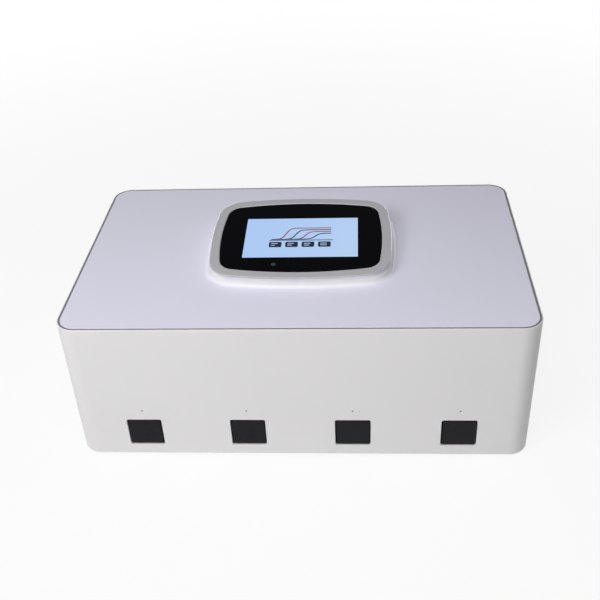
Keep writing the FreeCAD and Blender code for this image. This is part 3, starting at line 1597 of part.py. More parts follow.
def make_port_panel():
    body = new_body("port_panel")
    sketch = new_sketch(body, "port_plan", "XZ_Plane", "0 - inner_depth")
    add_rounded(sketch, "0 - port_left - port_lap", "port_width - port_left + port_lap",
                "port_low - port_lap", "port_low + port_height + port_lap", "port_corner")
    pad(body, sketch, "port_sheet", "port_thickness")
    sketch = new_sketch(body, "port_holes", "XZ_Plane", "0 - port_inner")
    for x, z in port_screw_places():
        add_circle(sketch, x, z, "screw_radius + screw_hole_gap")
    half_x = "switch_width / 2 - switch_body_inset + port_gap"
    half_z = "switch_height / 2 - switch_body_inset + port_gap"
    x = from_port_left("switch_place")
    add_rectangle(sketch, less(x, half_x), more(x, half_x),
                  less("port_middle", half_z), more("port_middle", half_z))
    for step in (0, 1):
        x = from_port_left("usb_place - usb_pitch * %d" % step)
        add_rectangle(sketch, less(x, "usb_width / 2 + port_gap"), more(x, "usb_width / 2 + port_gap"),
                      "port_middle - usb_height / 2 - port_gap", "port_middle + usb_height / 2 + port_gap")
    x = from_port_left("network_place - 5")
    add_rectangle(sketch, less(x, "network_width / 2 + port_gap"), more(x, "network_width / 2 + port_gap"),
                  "port_middle - network_height / 2 - port_gap",
                  "port_middle + network_height / 2 + port_gap")
    add_circle(sketch, from_port_left("inlet_place"), "port_middle", "inlet_radius + port_gap")
    pocket(body, sketch, "port_cutouts", "port_thickness")
    return keep_part(body, "port_panel")


def connector(name, x, width, height, depth, wall, tools):
    """A rectangular socket: its nose fills the cut-out and its flange bears on the panel."""
    nose = box(name + "_nose", less(x, "%s / 2" % width), more(x, "%s / 2" % width),
               less("port_inner", depth), "inner_depth",
               "port_middle - %s / 2" % height, "port_middle + %s / 2" % height)
    wide = "%s / 2 + connector_flange" % width
    tall = "%s / 2 + connector_flange" % height
    flange = box(name + "_flange", less(x, wide), more(x, wide), less("port_inner", "connector_flange"),
                 "port_inner", less("port_middle", tall), more("port_middle", tall))
    inner_x = "%s / 2 - %s" % (width, wall)
    inner_z = "%s / 2 - %s" % (height, wall)
    hollow = box(name + "_hollow", less(x, inner_x), more(x, inner_x),
                 "port_inner - %s + 2" % depth, "inner_depth + 1",
                 less("port_middle", inner_z), more("port_middle", inner_z))
    shell = cut(name + "_shell", fuse(name + "_solid", [nose, flange]), [hollow])
    return fuse(name, [shell] + tools) if tools else shell


def make_usb_ports():
    ports = []
    for step in (0, 1):
        name = "usb_port_%d" % (step + 1)
        x = from_port_left("usb_place - usb_pitch * %d" % step)
        half = "usb_width / 2 - usb_wall - 0.6"
        top = "port_middle + usb_height / 2 - usb_wall - 0.5"
        tongue = box(name + "_tongue", less(x, half), more(x, half), "port_inner - usb_depth + 1",
                     "inner_depth - 1.5", less(top, "usb_tongue"), top)
        ports.append(connector(name, x, "usb_width", "usb_height", "usb_depth", "usb_wall", [tongue]))
    return keep_part(group("usb_ports", ports), "usb_ports")


def make_network_port():
    x = from_port_left("network_place - 5")
    port = connector("network_port", x, "network_width", "network_height", "network_depth",
                     "network_wall", [])
    return keep_part(port, "network_port")


def make_dc_inlet():
    x = from_port_left("inlet_place")
    across = (x, "port_middle")
    start = "port_inner - inlet_depth"
    nose = cylinder("inlet_nose", "y", "inlet_radius", start, "inlet_depth + port_thickness", across)
    flange = cylinder("inlet_flange", "y", "inlet_radius + connector_flange",
                      "port_inner - connector_flange", "connector_flange", across)
    bore = cylinder("inlet_bore", "y", "inlet_bore", more(start, "2"),
                    "inlet_depth + port_thickness", across)
    pin = cylinder("inlet_pin", "y", "inlet_pin", more(start, "1"),
                   "inlet_depth + port_thickness - 3", across)
    shell = cut("inlet_shell", fuse("inlet_solid", [nose, flange]), [bore])
    return keep_part(fuse("dc_inlet", [shell, pin]), "dc_inlet")


def make_port_screws():
    screws = [
        screw("port_screw_%d" % step, "port_screw_length", x, "port_inner", z, Vector(1, 0, 0), "90")
        for step, (x, z) in enumerate(port_screw_places(), start=1)
    ]
    number = 0
    for middle in bay_places():
        for y in frame_screw_places():
            number += 1
            screws.append(screw("frame_screw_%d" % number, "frame_screw_length", middle, y,
                                "frame_deck"))
    return keep_part(group("inner_screws", screws), "inner_screws")


def make_switch():
    """Rocker switch: a bezelled frame, and a rocker that turns on pins between its walls."""
    x = from_port_left("switch_place")
    half_x = "switch_width / 2"
    half_z = "switch_height / 2"
    body_x = less(half_x, "switch_body_inset")
    body_z = less(half_z, "switch_body_inset")
    inner_x = less(body_x, "switch_wall")
    inner_z = less(body_z, "switch_wall / 2")
    low = "port_inner - switch_depth"
    rim = box("switch_rim", minus(half_x), half_x, "inner_depth", "inner_depth + switch_bezel",
              minus(half_z), half_z)
    well = box("switch_well", minus(body_x), body_x, low, "inner_depth", minus(body_z), body_z)
    hollow = box("switch_hollow", minus(inner_x), inner_x, more(low, "switch_wall"),
                 "inner_depth + switch_bezel + 1", minus(inner_z), inner_z)
    pin_hole = cylinder("switch_pin_hole", "x", "rocker_pin + rocker_pin_gap", minus(body_x),
                        "2 * (%s)" % body_x, ("rocker_axis_depth", "0"))
    frame = cut("switch_frame", fuse("switch_solid", [rim, well]), [hollow, pin_hole])
    keep_part(place(frame, x, "0", "port_middle"), "switch_frame")

    # the rocker, drawn level about its pin, then tipped to its off position
    body = new_body("switch_rocker")
    reach = less(inner_z, "rocker_end_gap")
    wide = less(inner_x, "rocker_gap")
    valley = "rocker_depth / 2"
    crest = "%s + (%s) * tan(rocker_angle)" % (valley, reach)
    deep = "rocker_depth * 0.6"
    sketch = new_sketch(body, "rocker_profile", "YZ_Plane", minus(wide))
    add_polygon(sketch, [
        (minus(deep), minus("(%s) * 0.7" % reach)),
        (minus(deep), "(%s) * 0.7" % reach),
        ("0", reach),
        (crest, reach),
        (valley, "0"),
        (crest, minus(reach)),
        ("0", minus(reach)),
    ])
    pad(body, sketch, "rocker_block", "2 * (%s)" % wide)
    sketch = new_sketch(body, "rocker_pins", "YZ_Plane", minus(less(body_x, "0.2")))
    add_circle(sketch, "0", "0", "rocker_pin")
    pad(body, sketch, "rocker_pin_bar", "2 * (%s)" % less(body_x, "0.2"))
    place(body, x, "rocker_axis_depth", "port_middle", Vector(1, 0, 0), "rocker_angle")
    return keep_part(body, "switch_rocker")


def check_and_export():
    """Stop on any failed object or shape, then write one STEP file per sub-part."""
    doc.recompute()
    failed = [item.Name for item in doc.Objects if {"Invalid", "Error"} & set(item.State)]
    if failed:
        raise RuntimeError("failed objects: " + ", ".join(failed))
    for item in parts:
        if item.Shape.isNull() or not item.Shape.isValid():
            raise RuntimeError("bad shape: " + item.Label)
    os.makedirs("parts", exist_ok=True)
    for item in parts:
        item.Shape.exportStep("parts/%s.step" % item.Label)
    print("%d sub-parts written" % len(parts))


for row, (size_name, size) in enumerate(SIZES.items(), start=1):
    sheet.set("A%d" % row, size_name)
    sheet.set("B%d" % row, str(size))
    sheet.setAlias("B%d" % row, size_name)
doc.recompute()

make_body_shell()
make_base_plate()
make_top_cover()
make_gasket()
make_feet()
make_casing_screws()
make_bezel()
make_glass()
make_indicator()
make_screen()
make_bracket()
make_display_board()
make_display_screws()
for bay_number, bay_middle in enumerate(bay_places(), start=1):
    make_tray_front(bay_number, bay_middle)
    make_chip_tray(bay_number, bay_middle)
    make_bay_frame(bay_number, bay_middle)
    make_optics(bay_number, bay_middle)
    make_heater(bay_number, bay_middle)
    make_motor(bay_number, bay_middle)
    make_pinion(bay_number, bay_middle)
make_status_lights()
make_backplane()
make_main_board()
make_heat_sink()
make_battery()
make_strap()
make_cables()
make_fan_frame()
make_fan_rotor()
make_port_panel()
make_usb_ports()
make_network_port()
make_dc_inlet()
make_port_screws()
make_switch()
check_and_export()
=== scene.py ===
import math

import bmesh
import bpy
from mathutils import Matrix, Vector


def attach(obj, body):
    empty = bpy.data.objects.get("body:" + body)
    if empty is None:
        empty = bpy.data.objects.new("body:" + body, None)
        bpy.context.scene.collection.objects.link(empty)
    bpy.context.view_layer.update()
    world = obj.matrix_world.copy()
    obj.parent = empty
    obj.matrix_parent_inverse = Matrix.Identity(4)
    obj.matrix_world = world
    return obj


# Looks of the bench real-time PCR analyzer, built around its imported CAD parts.
# Metres throughout, in the row frame: +X right, -Y front, +Z up.

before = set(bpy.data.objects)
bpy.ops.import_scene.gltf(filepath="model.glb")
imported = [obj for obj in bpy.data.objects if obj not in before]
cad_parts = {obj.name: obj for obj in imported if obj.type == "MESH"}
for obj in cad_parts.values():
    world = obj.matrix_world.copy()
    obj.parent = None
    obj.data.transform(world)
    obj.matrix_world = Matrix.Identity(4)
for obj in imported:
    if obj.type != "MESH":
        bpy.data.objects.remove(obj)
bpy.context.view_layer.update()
scene = bpy.context.scene

MM = 0.001
BAYS = (1, 2, 3, 4)
BAY_PITCH = 108.8 * MM
BAY_X = {bay: (bay - 2.5) * BAY_PITCH for bay in BAYS}

# lid panel, and the display pod in its own frame, where z 0 is the top of the ring
PANEL_TOP = 168.8 * MM
POD_TOP = 185.8 * MM
POD_TILT = math.radians(4.5)
POD_UP = (0, -math.sin(POD_TILT), math.cos(POD_TILT))
POD = Matrix.Translation((0, 0, POD_TOP)) @ Matrix.Rotation(POD_TILT, 4, "X")
RING_ROUND = 1.4 * MM
GLASS_TOP = -0.4 * MM

# height and half width of the blend from the lid's lavender to the pod's white, and from that
# white to the ring's grey; the pod's white is partly a painted highlight of its lit front walls
# and foot
POD_HIGHLIGHT_BLEND = (PANEL_TOP + 0.9 * MM, 0.8 * MM)
RING_BLEND = (POD_TOP * math.cos(POD_TILT) - 0.8 * RING_ROUND - 0.5 * MM, 0.5 * MM)

# lit area of the display
SCREEN_SIZE = (121.4 * MM, 71.2 * MM)
SCREEN_CORNER = 0.8 * MM
SCREEN_SHIFT = -2.0 * MM
SCREEN_THICK = 0.05 * MM

# run screen: tiles with two bars each
TILE_SIZE = (13.5 * MM, 9.5 * MM)
TILE_CORNER = 1.6 * MM
TILE_PITCH = 17.5 * MM
TILE_SHIFT = -1.0 * MM
TILE_Y = -15.0 * MM
BAR_LONG = 7.0 * MM
BAR_SHORT = 3.0 * MM
BAR_GROWTH = 1.0 * MM
BAR_WIDTH = 1.1 * MM
BAR_CORNER = 0.5 * MM
BAR_START = 4.5 * MM
BAR_Y = -13.2 * MM
BAR_PITCH = 3.2 * MM

# run screen: curves over a base line
BASE_HALF = 34.0 * MM
BASE_Y = -7.4 * MM
BASE_WIDTH = 1.2 * MM
CURVE_POINTS = 49
CURVE_HALF = 32.0 * MM
CURVE_Y = -5.6 * MM
CURVE_RISE = 24.0 * MM
CURVE_DROP = 3.4 * MM
CURVE_MIDDLE = -27.0 * MM
CURVE_DELAY = 10.5 * MM
CURVE_SLOPE = 2.2 * MM
CURVE_WIDTH = 1.4 * MM
CURVE_LIFT = 0.01 * MM

# mark on the power indicator
INDICATOR = (-26.8 * MM, -49.6 * MM)
INDICATOR_RING = (2.25 * MM, 1.6 * MM)
INDICATOR_DOT = 1.7 * MM
INDICATOR_CORNER = 0.84 * MM

# chip tray at rest
RECESS_FLOOR = 33.3 * MM
TRAY_TOP = 38.5 * MM
WINDOW_Y = -121.5 * MM
SEAL_SIZE = 14.6 * MM
SEAL_CORNER = 2.4 * MM
SEAL_WIDTH = 1.2 * MM
SEAL_THICK = 0.25 * MM
CONTACT_SIZE = (1.4 * MM, 4.0 * MM)
CONTACT_CORNER = 0.4 * MM
CONTACT_PITCH = 2.6 * MM
CONTACT_BACK = 23.5 * MM
CONTACT_THICK = 0.1 * MM
ARROW_Y = -86 * MM
ARROW_HALF = 2.6 * MM
ARROW_LENGTH = 4.2 * MM
ARROW_BAR = (6 * MM, -2 * MM)
ARROW_BAR_WIDTH = 0.7 * MM
ARROW_THICK = 0.05 * MM

# rear connectors
PORT_FACE = 142.0 * MM
PORT_HEIGHT = 51.0 * MM
USB_X = (-48.0 * MM, -70.0 * MM)
USB_CONTACTS = (-3.5 * MM, -1.0 * MM, 1.0 * MM, 3.5 * MM)
USB_STRIP = (128 * MM, 140.2 * MM)
USB_STRIP_WIDTH = 1.0 * MM
USB_TONGUE_HALF = 6 * MM
USB_TONGUE_Y = (125 * MM, 140.6 * MM)
USB_TONGUE_Z = (51.3 * MM, 53.3 * MM)
USB_STRIP_TOP = 51.4 * MM
NETWORK_X = -20.0 * MM
NETWORK_PITCH = 1.02 * MM
NETWORK_STRIP = (125 * MM, 140.5 * MM)
NETWORK_STRIP_WIDTH = 0.5 * MM
NETWORK_STRIP_Z = (46.0 * MM, 46.35 * MM)
LINK_SIZE = (2.6 * MM, 1.0 * MM)
LINK_CORNER = 0.3 * MM
LINK_THICK = 0.15 * MM
LINK_ASIDE = 5.2 * MM
LINK_HEIGHT = 56.85 * MM
INLET_X = 4.0 * MM
INLET_PIN_HALF = 1.3 * MM
INLET_PIN_Y = (100 * MM, 200 * MM)

# power switch, stored with its rocker tipped to off
SWITCH_X = -103.0 * MM
SWITCH_PIN_Y = 138.5 * MM
ROCKER_TIP = math.radians(8)
ROCKER_FACE = 3.5 * MM
MARK_REACH = 4.4 * MM
OFF_RING = (1.7 * MM, 1.25 * MM)
ON_HALF = 1.7 * MM
ON_WIDTH = 0.5 * MM
MARK_THICK = 0.06 * MM

# steps in a rounded corner and round a ring
CORNER_STEPS = 8
RING_STEPS = 40


# Materials

NOISE_DETAIL = 4.0
GRAIN_STRENGTH = 0.3


def new_material(name):
    """A material with a principled shader, as (material, node tree, shader)."""
    material = bpy.data.materials.new(name)
    material.use_nodes = True
    tree = material.node_tree
    return material, tree, tree.nodes["Principled BSDF"]


def add_node(tree, kind, **values):
    node = tree.nodes.new(kind)
    for key, value in values.items():
        setattr(node, key, value)
    return node


def own_place(tree):
    """The point's place in its object's own coordinates."""
    return add_node(tree, "ShaderNodeTexCoord").outputs["Object"]


def split_place(tree, place):
    """The x, y and z of a place."""
    node = add_node(tree, "ShaderNodeSeparateXYZ")
    tree.links.new(place, node.inputs[0])
    return node.outputs


def noise(tree, scale, stretch=(1, 1, 1)):
    """Noise over the object's own coordinates, in features of about 1/scale metres."""
    mapping = add_node(tree, "ShaderNodeMapping")
    mapping.inputs["Scale"].default_value = stretch
    texture = add_node(tree, "ShaderNodeTexNoise")
    texture.inputs["Scale"].default_value = scale
    texture.inputs["Detail"].default_value = NOISE_DETAIL
    tree.links.new(own_place(tree), mapping.inputs["Vector"])
    tree.links.new(mapping.outputs["Vector"], texture.inputs["Vector"])
    return texture.outputs["Fac"]


def ramp(tree, source, stops):
    """Colours along a value, as (place, (r, g, b)) stops."""
    node = add_node(tree, "ShaderNodeValToRGB")
    elements = node.color_ramp.elements
    while len(elements) < len(stops):
        elements.new(0.5)
    for element, (place, colour) in zip(elements, stops):
        element.position = place
        element.color = (*colour, 1)
    tree.links.new(source, node.inputs["Fac"])
    return node.outputs["Color"]


def grey_range(tree, source, low, high):
    """A value from low to high, while a source goes from 0 to 1."""
    node = add_node(tree, "ShaderNodeMapRange")
    node.inputs["To Min"].default_value = low
    node.inputs["To Max"].default_value = high
    tree.links.new(source, node.inputs["Value"])
    return node.outputs["Result"]


def smooth_range(tree, source, start, end, low=0.0, high=1.0):
    """A smooth step from low to high, while a source goes from start to end."""
    node = add_node(tree, "ShaderNodeMapRange", interpolation_type="SMOOTHSTEP")
    node.inputs["From Min"].default_value = start
    node.inputs["From Max"].default_value = end
    node.inputs["To Min"].default_value = low
    node.inputs["To Max"].default_value = high
    tree.links.new(source, node.inputs["Value"])
    return node.outputs["Result"]


def bump(tree, shader, source, strength, depth):
    node = add_node(tree, "ShaderNodeBump")
    node.inputs["Strength"].default_value = strength
    node.inputs["Distance"].default_value = depth
    tree.links.new(source, node.inputs["Height"])
    tree.links.new(node.outputs["Normal"], shader.inputs["Normal"])


def calculate(tree, operation, *values):
    """One step of arithmetic on sockets or plain numbers."""
    node = add_node(tree, "ShaderNodeMath", operation=operation)
    for place, item in enumerate(values):
        if isinstance(item, (int, float)):
            node.inputs[place].default_value = item
        else:
            tree.links.new(item, node.inputs[place])
    return node.outputs[0]


def over(direction, level, soft):
    """A mask for the points beyond a plane, across a soft edge."""
    def mask(tree):
        height = add_node(tree, "ShaderNodeVectorMath", operation="DOT_PRODUCT")
        height.inputs[1].default_value = direction
        tree.links.new(own_place(tree), height.inputs[0])
        return smooth_range(tree, height.outputs["Value"], level - soft, level + soft)
    return mask


def inside(boxes):
    """A mask for the points in any of some boxes, as (lowest corner, highest corner)."""
    def mask(tree):
        place = split_place(tree, own_place(tree))
        share = 0.0
        for low, high in boxes:
            within = 1.0
            for axis in range(3):
                above = calculate(tree, "GREATER_THAN", place[axis], low[axis])
                below = calculate(tree, "LESS_THAN", place[axis], high[axis])
                between = calculate(tree, "MULTIPLY", above, below)
                within = calculate(tree, "MULTIPLY", within, between)
            share = calculate(tree, "MAXIMUM", share, within)
        return share
    return mask


def blend_colours(tree, share, first, second):
    """From a colour socket to a plain colour, as a share goes from 0 to 1."""
    node = add_node(tree, "ShaderNodeMix", data_type="RGBA")
    tree.links.new(share, node.inputs["Factor"])
    tree.links.new(first, node.inputs["A"])
    node.inputs["B"].default_value = (*second, 1)
    return node.outputs["Result"]


def shade(colour, share):
    return tuple(min(1.0, channel * share) for channel in colour)


def surface(name, colour, rough=(0.35, 0.45), metal=0.0, grain=2500.0, depth=0.02,
            spread=0.03, patch=18.0, stretch=(1, 1, 1), level=0.5, zones=()):
    """The usual finish: a colour that drifts a little, uneven gloss, and a fine grain.

    Depth is in millimetres, grain and patch in features per metre. Each zone is
    (mask, colour, metal) for a part of the surface that differs."""
    material, tree, shader = new_material(name)
    stops = [(0.3, shade(colour, 1 - spread)), (0.7, shade(colour, 1 + spread))]
    paint = ramp(tree, noise(tree, patch), stops)
    shader.inputs["Metallic"].default_value = metal
    for mask, zone_colour, zone_metal in zones:
        share = mask(tree)
        paint = blend_colours(tree, share, paint, zone_colour)
        if zone_metal != metal:
            tree.links.new(grey_range(tree, share, metal, zone_metal), shader.inputs["Metallic"])
    tree.links.new(paint, shader.inputs["Base Color"])
    fine = noise(tree, grain, stretch)
    tree.links.new(grey_range(tree, fine, *rough), shader.inputs["Roughness"])
    bump(tree, shader, fine, GRAIN_STRENGTH, depth * MM)
    shader.inputs["Specular IOR Level"].default_value = level
    return material


def brushed(name, colour, rough=(0.28, 0.42), grain=300.0, stretch=(1, 14, 14)):
    """Bare metal, with its grain drawn out along one axis."""
    return surface(name, colour, rough, metal=1.0, grain=grain, depth=0.01, stretch=stretch)


def board_material(name):
    """Solder mask over a grid of tracks, on level and on upright boards alike."""
    material, tree, shader = new_material(name)
    place = split_place(tree, own_place(tree))
    flat = add_node(tree, "ShaderNodeCombineXYZ")
    tree.links.new(place["X"], flat.inputs["X"])
    tree.links.new(calculate(tree, "ADD", place["Y"], place["Z"]), flat.inputs["Y"])
    tracks = add_node(tree, "ShaderNodeTexBrick")
    tracks.inputs["Scale"].default_value = 110.0
    tracks.inputs["Mortar Size"].default_value = 0.03
    tracks.inputs["Color1"].default_value = (0.010, 0.085, 0.038, 1)
    tracks.inputs["Color2"].default_value = (0.015, 0.115, 0.050, 1)
    tracks.inputs["Mortar"].default_value = (0.04, 0.22, 0.10, 1)
    tree.links.new(flat.outputs["Vector"], tracks.inputs["Vector"])
    tree.links.new(tracks.outputs["Color"], shader.inputs["Base Color"])
    bump(tree, shader, tracks.outputs["Fac"], 0.2, 0.03 * MM)
    shader.inputs["Roughness"].default_value = 0.3
    shader.inputs["Coat Weight"].default_value = 0.4
    return material


def glow(name, low, high):
    """A lit display surface, a little different from one end to the other."""
    material, tree, shader = new_material(name)
    mapping = add_node(tree, "ShaderNodeMapping")
    mapping.inputs["Rotation"].default_value = (0, 0, math.radians(20))
    mapping.inputs["Scale"].default_value = (7, 7, 7)
    mapping.inputs["Location"].default_value = (0.5, 0.5, 0)
    tree.links.new(own_place(tree), mapping.inputs["Vector"])
    gradient = add_node(tree, "ShaderNodeTexGradient", gradient_type="LINEAR")
    tree.links.new(mapping.outputs["Vector"], gradient.inputs["Vector"])
    colour = ramp(tree, gradient.outputs["Fac"], [(0.0, low), (1.0, high)])
    tree.links.new(colour, shader.inputs["Emission Color"])
    shader.inputs["Emission Strength"].default_value = 1.0
    shader.inputs["Base Color"].default_value = (0.01, 0.01, 0.01, 1)
    shader.inputs["Roughness"].default_value = 0.12
    shader.inputs["Specular IOR Level"].default_value = 0.3
    return material


# white of the pod's walls and foot: partly their white plastic, partly a painted highlight where
# the front faces the light
POD_WHITE_AND_HIGHLIGHT = (0.80, 0.795, 0.82)
RING_GREY = (0.47, 0.465, 0.49)
TONGUE_BLACK = (0.016, 0.016, 0.018)
PIN_METAL = (0.62, 0.60, 0.55)

# the plastic tongues in the USB sockets, and the pin in the power inlet
TONGUES = [
    ((x - USB_TONGUE_HALF, USB_TONGUE_Y[0], USB_TONGUE_Z[0]),
     (x + USB_TONGUE_HALF, USB_TONGUE_Y[1], USB_TONGUE_Z[1])) for x in USB_X
]
INLET_PIN = [
    ((INLET_X - INLET_PIN_HALF, INLET_PIN_Y[0], PORT_HEIGHT - INLET_PIN_HALF),
     (INLET_X + INLET_PIN_HALF, INLET_PIN_Y[1], PORT_HEIGHT + INLET_PIN_HALF)),
]

MATERIALS = {
    "casing": surface("casing_paint", (0.82, 0.806, 0.808), rough=(0.4, 0.48), grain=3200.0,
                      depth=0.012, spread=0.008, patch=7.0),
    # just above the panel the lid turns white on the pod's foot and walls: partly their white
    # plastic and partly a painted highlight on the lit foot
    "cover": surface("cover_paint_with_highlight", (0.78, 0.765, 0.885), rough=(0.34, 0.42), grain=3200.0,
                     depth=0.012, spread=0.008, patch=7.0,
                     zones=[(over((0, 0, 1), *POD_HIGHLIGHT_BLEND), POD_WHITE_AND_HIGHLIGHT, 0.0)]),
    # white bezel walls under the grey ring: partly white plastic and partly a painted highlight
    # on the lit front wall
    "bezel": surface("bezel_plastic_with_highlight", POD_WHITE_AND_HIGHLIGHT, rough=(0.3, 0.38), grain=3000.0, depth=0.01,
                     spread=0.01, patch=12.0,
                     zones=[(over(POD_UP, *RING_BLEND), RING_GREY, 0.0)]),
    "gasket": surface("gasket_rubber", (0.19, 0.186, 0.20), rough=(0.6, 0.7), grain=1500.0),
    "foot": surface("foot_rubber", (0.035, 0.035, 0.037), rough=(0.6, 0.75), grain=1200.0,
                    depth=0.05),
    "screw": brushed("screw_zinc", (0.62, 0.62, 0.60)),
    "glass": surface("glass_black", (0.0006, 0.0006, 0.0012), rough=(0.05, 0.08), grain=900.0,
                     depth=0.0, spread=0.2, level=0.2),
    "pipe": surface("light_pipe", (0.30, 0.30, 0.31), rough=(0.2, 0.3), grain=800.0),
    "lens": surface("indicator_lens", (0.004, 0.03, 0.016), rough=(0.15, 0.25), grain=800.0),
    "sheet": brushed("zinc_sheet", (0.56, 0.57, 0.58), rough=(0.3, 0.45)),
    "base": brushed("rolled_aluminium", (0.66, 0.665, 0.68), stretch=(14, 1, 14)),
    "board": board_material("solder_mask"),
    "front": surface("front_gloss", (0.0055, 0.006, 0.0085), rough=(0.12, 0.2), grain=1400.0,
                     depth=0.01, spread=0.2, level=0.16),
    "tray": surface("tray_plastic", (0.03, 0.031, 0.033), rough=(0.4, 0.55), grain=1800.0),
    "chassis": surface("chassis_plastic", (0.11, 0.11, 0.115), rough=(0.5, 0.6), grain=1600.0),
    "optics": surface("optics_housing", (0.02, 0.02, 0.021), rough=(0.45, 0.55), grain=1500.0),
    "machined": brushed("machined_aluminium", (0.72, 0.72, 0.73), grain=500.0),
    "motor": brushed("motor_can", (0.55, 0.55, 0.54)),
    "gear": surface("gear_acetal", (0.74, 0.73, 0.68), rough=(0.35, 0.45), grain=1200.0),
    "battery": surface("battery_wrap", (0.02, 0.07, 0.20), rough=(0.2, 0.35), grain=60.0,
                       depth=0.3, spread=0.1),
    "ribbon": surface("ribbon_cable", (0.40, 0.41, 0.43), rough=(0.4, 0.5), grain=900.0,
                      stretch=(1, 0.02, 0.02)),
    "fan": surface("fan_plastic", (0.018, 0.018, 0.019), rough=(0.4, 0.5), grain=1500.0),
    "port_sheet": surface("port_powder", (0.045, 0.045, 0.048), rough=(0.45, 0.6),
                          grain=1600.0, depth=0.04),
    "shell": surface("plated_shell", (0.68, 0.68, 0.67), rough=(0.22, 0.34), metal=1.0,
                     grain=300.0, depth=0.01, stretch=(1, 14, 14),
                     zones=[(inside(TONGUES), TONGUE_BLACK, 0.0)]),
    "inlet": surface("inlet_plastic", (0.014, 0.014, 0.015), rough=(0.3, 0.42), grain=1500.0,
                     zones=[(inside(INLET_PIN), PIN_METAL, 1.0)]),
    "rocker": surface("rocker_plastic", (0.012, 0.012, 0.013), rough=(0.22, 0.32),
                      grain=1500.0),
    "gold": surface("contact_gold", (0.83, 0.62, 0.28), rough=(0.2, 0.3), metal=1.0,
                    grain=900.0, depth=0.005),
    "pad": surface("seal_silicone", (0.16, 0.165, 0.17), rough=(0.55, 0.68), grain=2200.0),
    "mark": surface("mark_paint", (0.62, 0.62, 0.61), rough=(0.45, 0.6), grain=2600.0),
    "link_green": surface("link_green", (0.03, 0.22, 0.05), rough=(0.2, 0.3), grain=900.0),
    "link_amber": surface("link_amber", (0.40, 0.16, 0.01), rough=(0.2, 0.3), grain=900.0),
}

NODE_LOOKS = {
    "body_shell": "casing", "top_cover": "cover", "perimeter_gasket": "gasket",
    "display_bezel": "bezel", "cover_glass": "glass", "power_indicator": "lens",
    "status_lights": "pipe", "rubber_feet": "foot", "base_plate": "base",
    "base_screws": "screw", "cover_screws": "screw", "display_screws": "screw",
    "inner_screws": "screw", "lcd_panel": "sheet", "display_bracket": "sheet",
    "battery_strap": "sheet", "display_board": "board", "main_board": "board",
    "backplane_board": "board", "heat_sink": "machined", "battery_pack": "battery",
    "display_cable": "ribbon", "backplane_cable": "ribbon", "fan_frame": "fan",
    "fan_rotor": "fan", "port_panel": "port_sheet", "usb_ports": "shell",
    "network_port": "shell", "dc_inlet": "inlet", "switch_frame": "inlet",
    "switch_rocker": "rocker",
}
BAY_LOOKS = {
    "tray_front": "front", "chip_tray": "tray", "bay_frame": "chassis", "optics_head": "optics",
    "heater_block": "machined", "drive_motor": "motor", "drive_pinion": "gear",
}


def dress_nodes():
    """Give every CAD node its finish, in each of its material slots."""
    looks = dict(NODE_LOOKS)
    for piece, look in BAY_LOOKS.items():
        for bay in BAYS:
            looks["%s_%d" % (piece, bay)] = look
    for node, look in looks.items():
        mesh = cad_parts[node].data
        if not mesh.materials:
            mesh.materials.append(None)
        for index in range(len(mesh.materials)):
            mesh.materials[index] = MATERIALS[look]


# Pieces

def add_mesh(name, mesh, body, look, place=None):
    """A finished mesh becomes a piece that rides on a body, with its finish in one material
    slot.
    """
    data = bpy.data.meshes.new(name)
    mesh.to_mesh(data)
    mesh.free()
    data.materials.append(look)
    piece = bpy.data.objects.new(name, data)
    scene.collection.objects.link(piece)
    if place:
        piece.matrix_world = place
    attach(piece, body)


def rounded_outline(width, depth, radius):
    """Corner points of a rounded rectangle about the origin, anticlockwise."""
    points = []
    for turn, (x, y) in enumerate(((1, 1), (-1, 1), (-1, -1), (1, -1))):
        for step in range(CORNER_STEPS + 1):
            angle = math.pi / 2 * (turn + step / CORNER_STEPS)
            points.append((x * (width / 2 - radius) + radius * math.cos(angle),
                           y * (depth / 2 - radius) + radius * math.sin(angle)))
    return points


def shifted(points, x, y):
    return [(point[0] + x, point[1] + y) for point in points]


def plate_mesh(points, low, high):
    """A flat plate through an outline, from one height to another."""
    mesh = bmesh.new()
    face = mesh.faces.new([mesh.verts.new((x, y, low)) for x, y in points])
    rise = bmesh.ops.extrude_face_region(mesh, geom=[face])
    moved = [item for item in rise["geom"] if isinstance(item, bmesh.types.BMVert)]
    bmesh.ops.translate(mesh, vec=(0, 0, high - low), verts=moved)
    bmesh.ops.recalc_face_normals(mesh, faces=mesh.faces)
    return mesh


def ribbon_mesh(path, width, low, high):
    """A flat strip of even width along a path."""
    left, right = [], []
    for step, point in enumerate(path):
        before = path[max(step - 1, 0)]
        after = path[min(step + 1, len(path) - 1)]
        run = Vector((after[0] - before[0], after[1] - before[1])).normalized()
        aside = Vector((-run.y, run.x)) * width / 2
        left.append((point[0] + aside.x, point[1] + aside.y))
        right.append((point[0] - aside.x, point[1] - aside.y))
    mesh = bmesh.new()
    rows = [
        [[mesh.verts.new((x, y, z)) for x, y in side] for side in (right, left)]
        for z in (low, high)
    ]
    for step in range(len(path) - 1):
        for row in rows:
            mesh.faces.new([row[0][step], row[0][step + 1], row[1][step + 1], row[1][step]])
        for side in (0, 1):
            mesh.faces.new([rows[0][side][step], rows[0][side][step + 1],
                            rows[1][side][step + 1], rows[1][side][step]])
    for end in (0, len(path) - 1):
        mesh.faces.new([rows[0][0][end], rows[0][1][end], rows[1][1][end], rows[1][0][end]])
    bmesh.ops.recalc_face_normals(mesh, faces=mesh.faces)
    return mesh


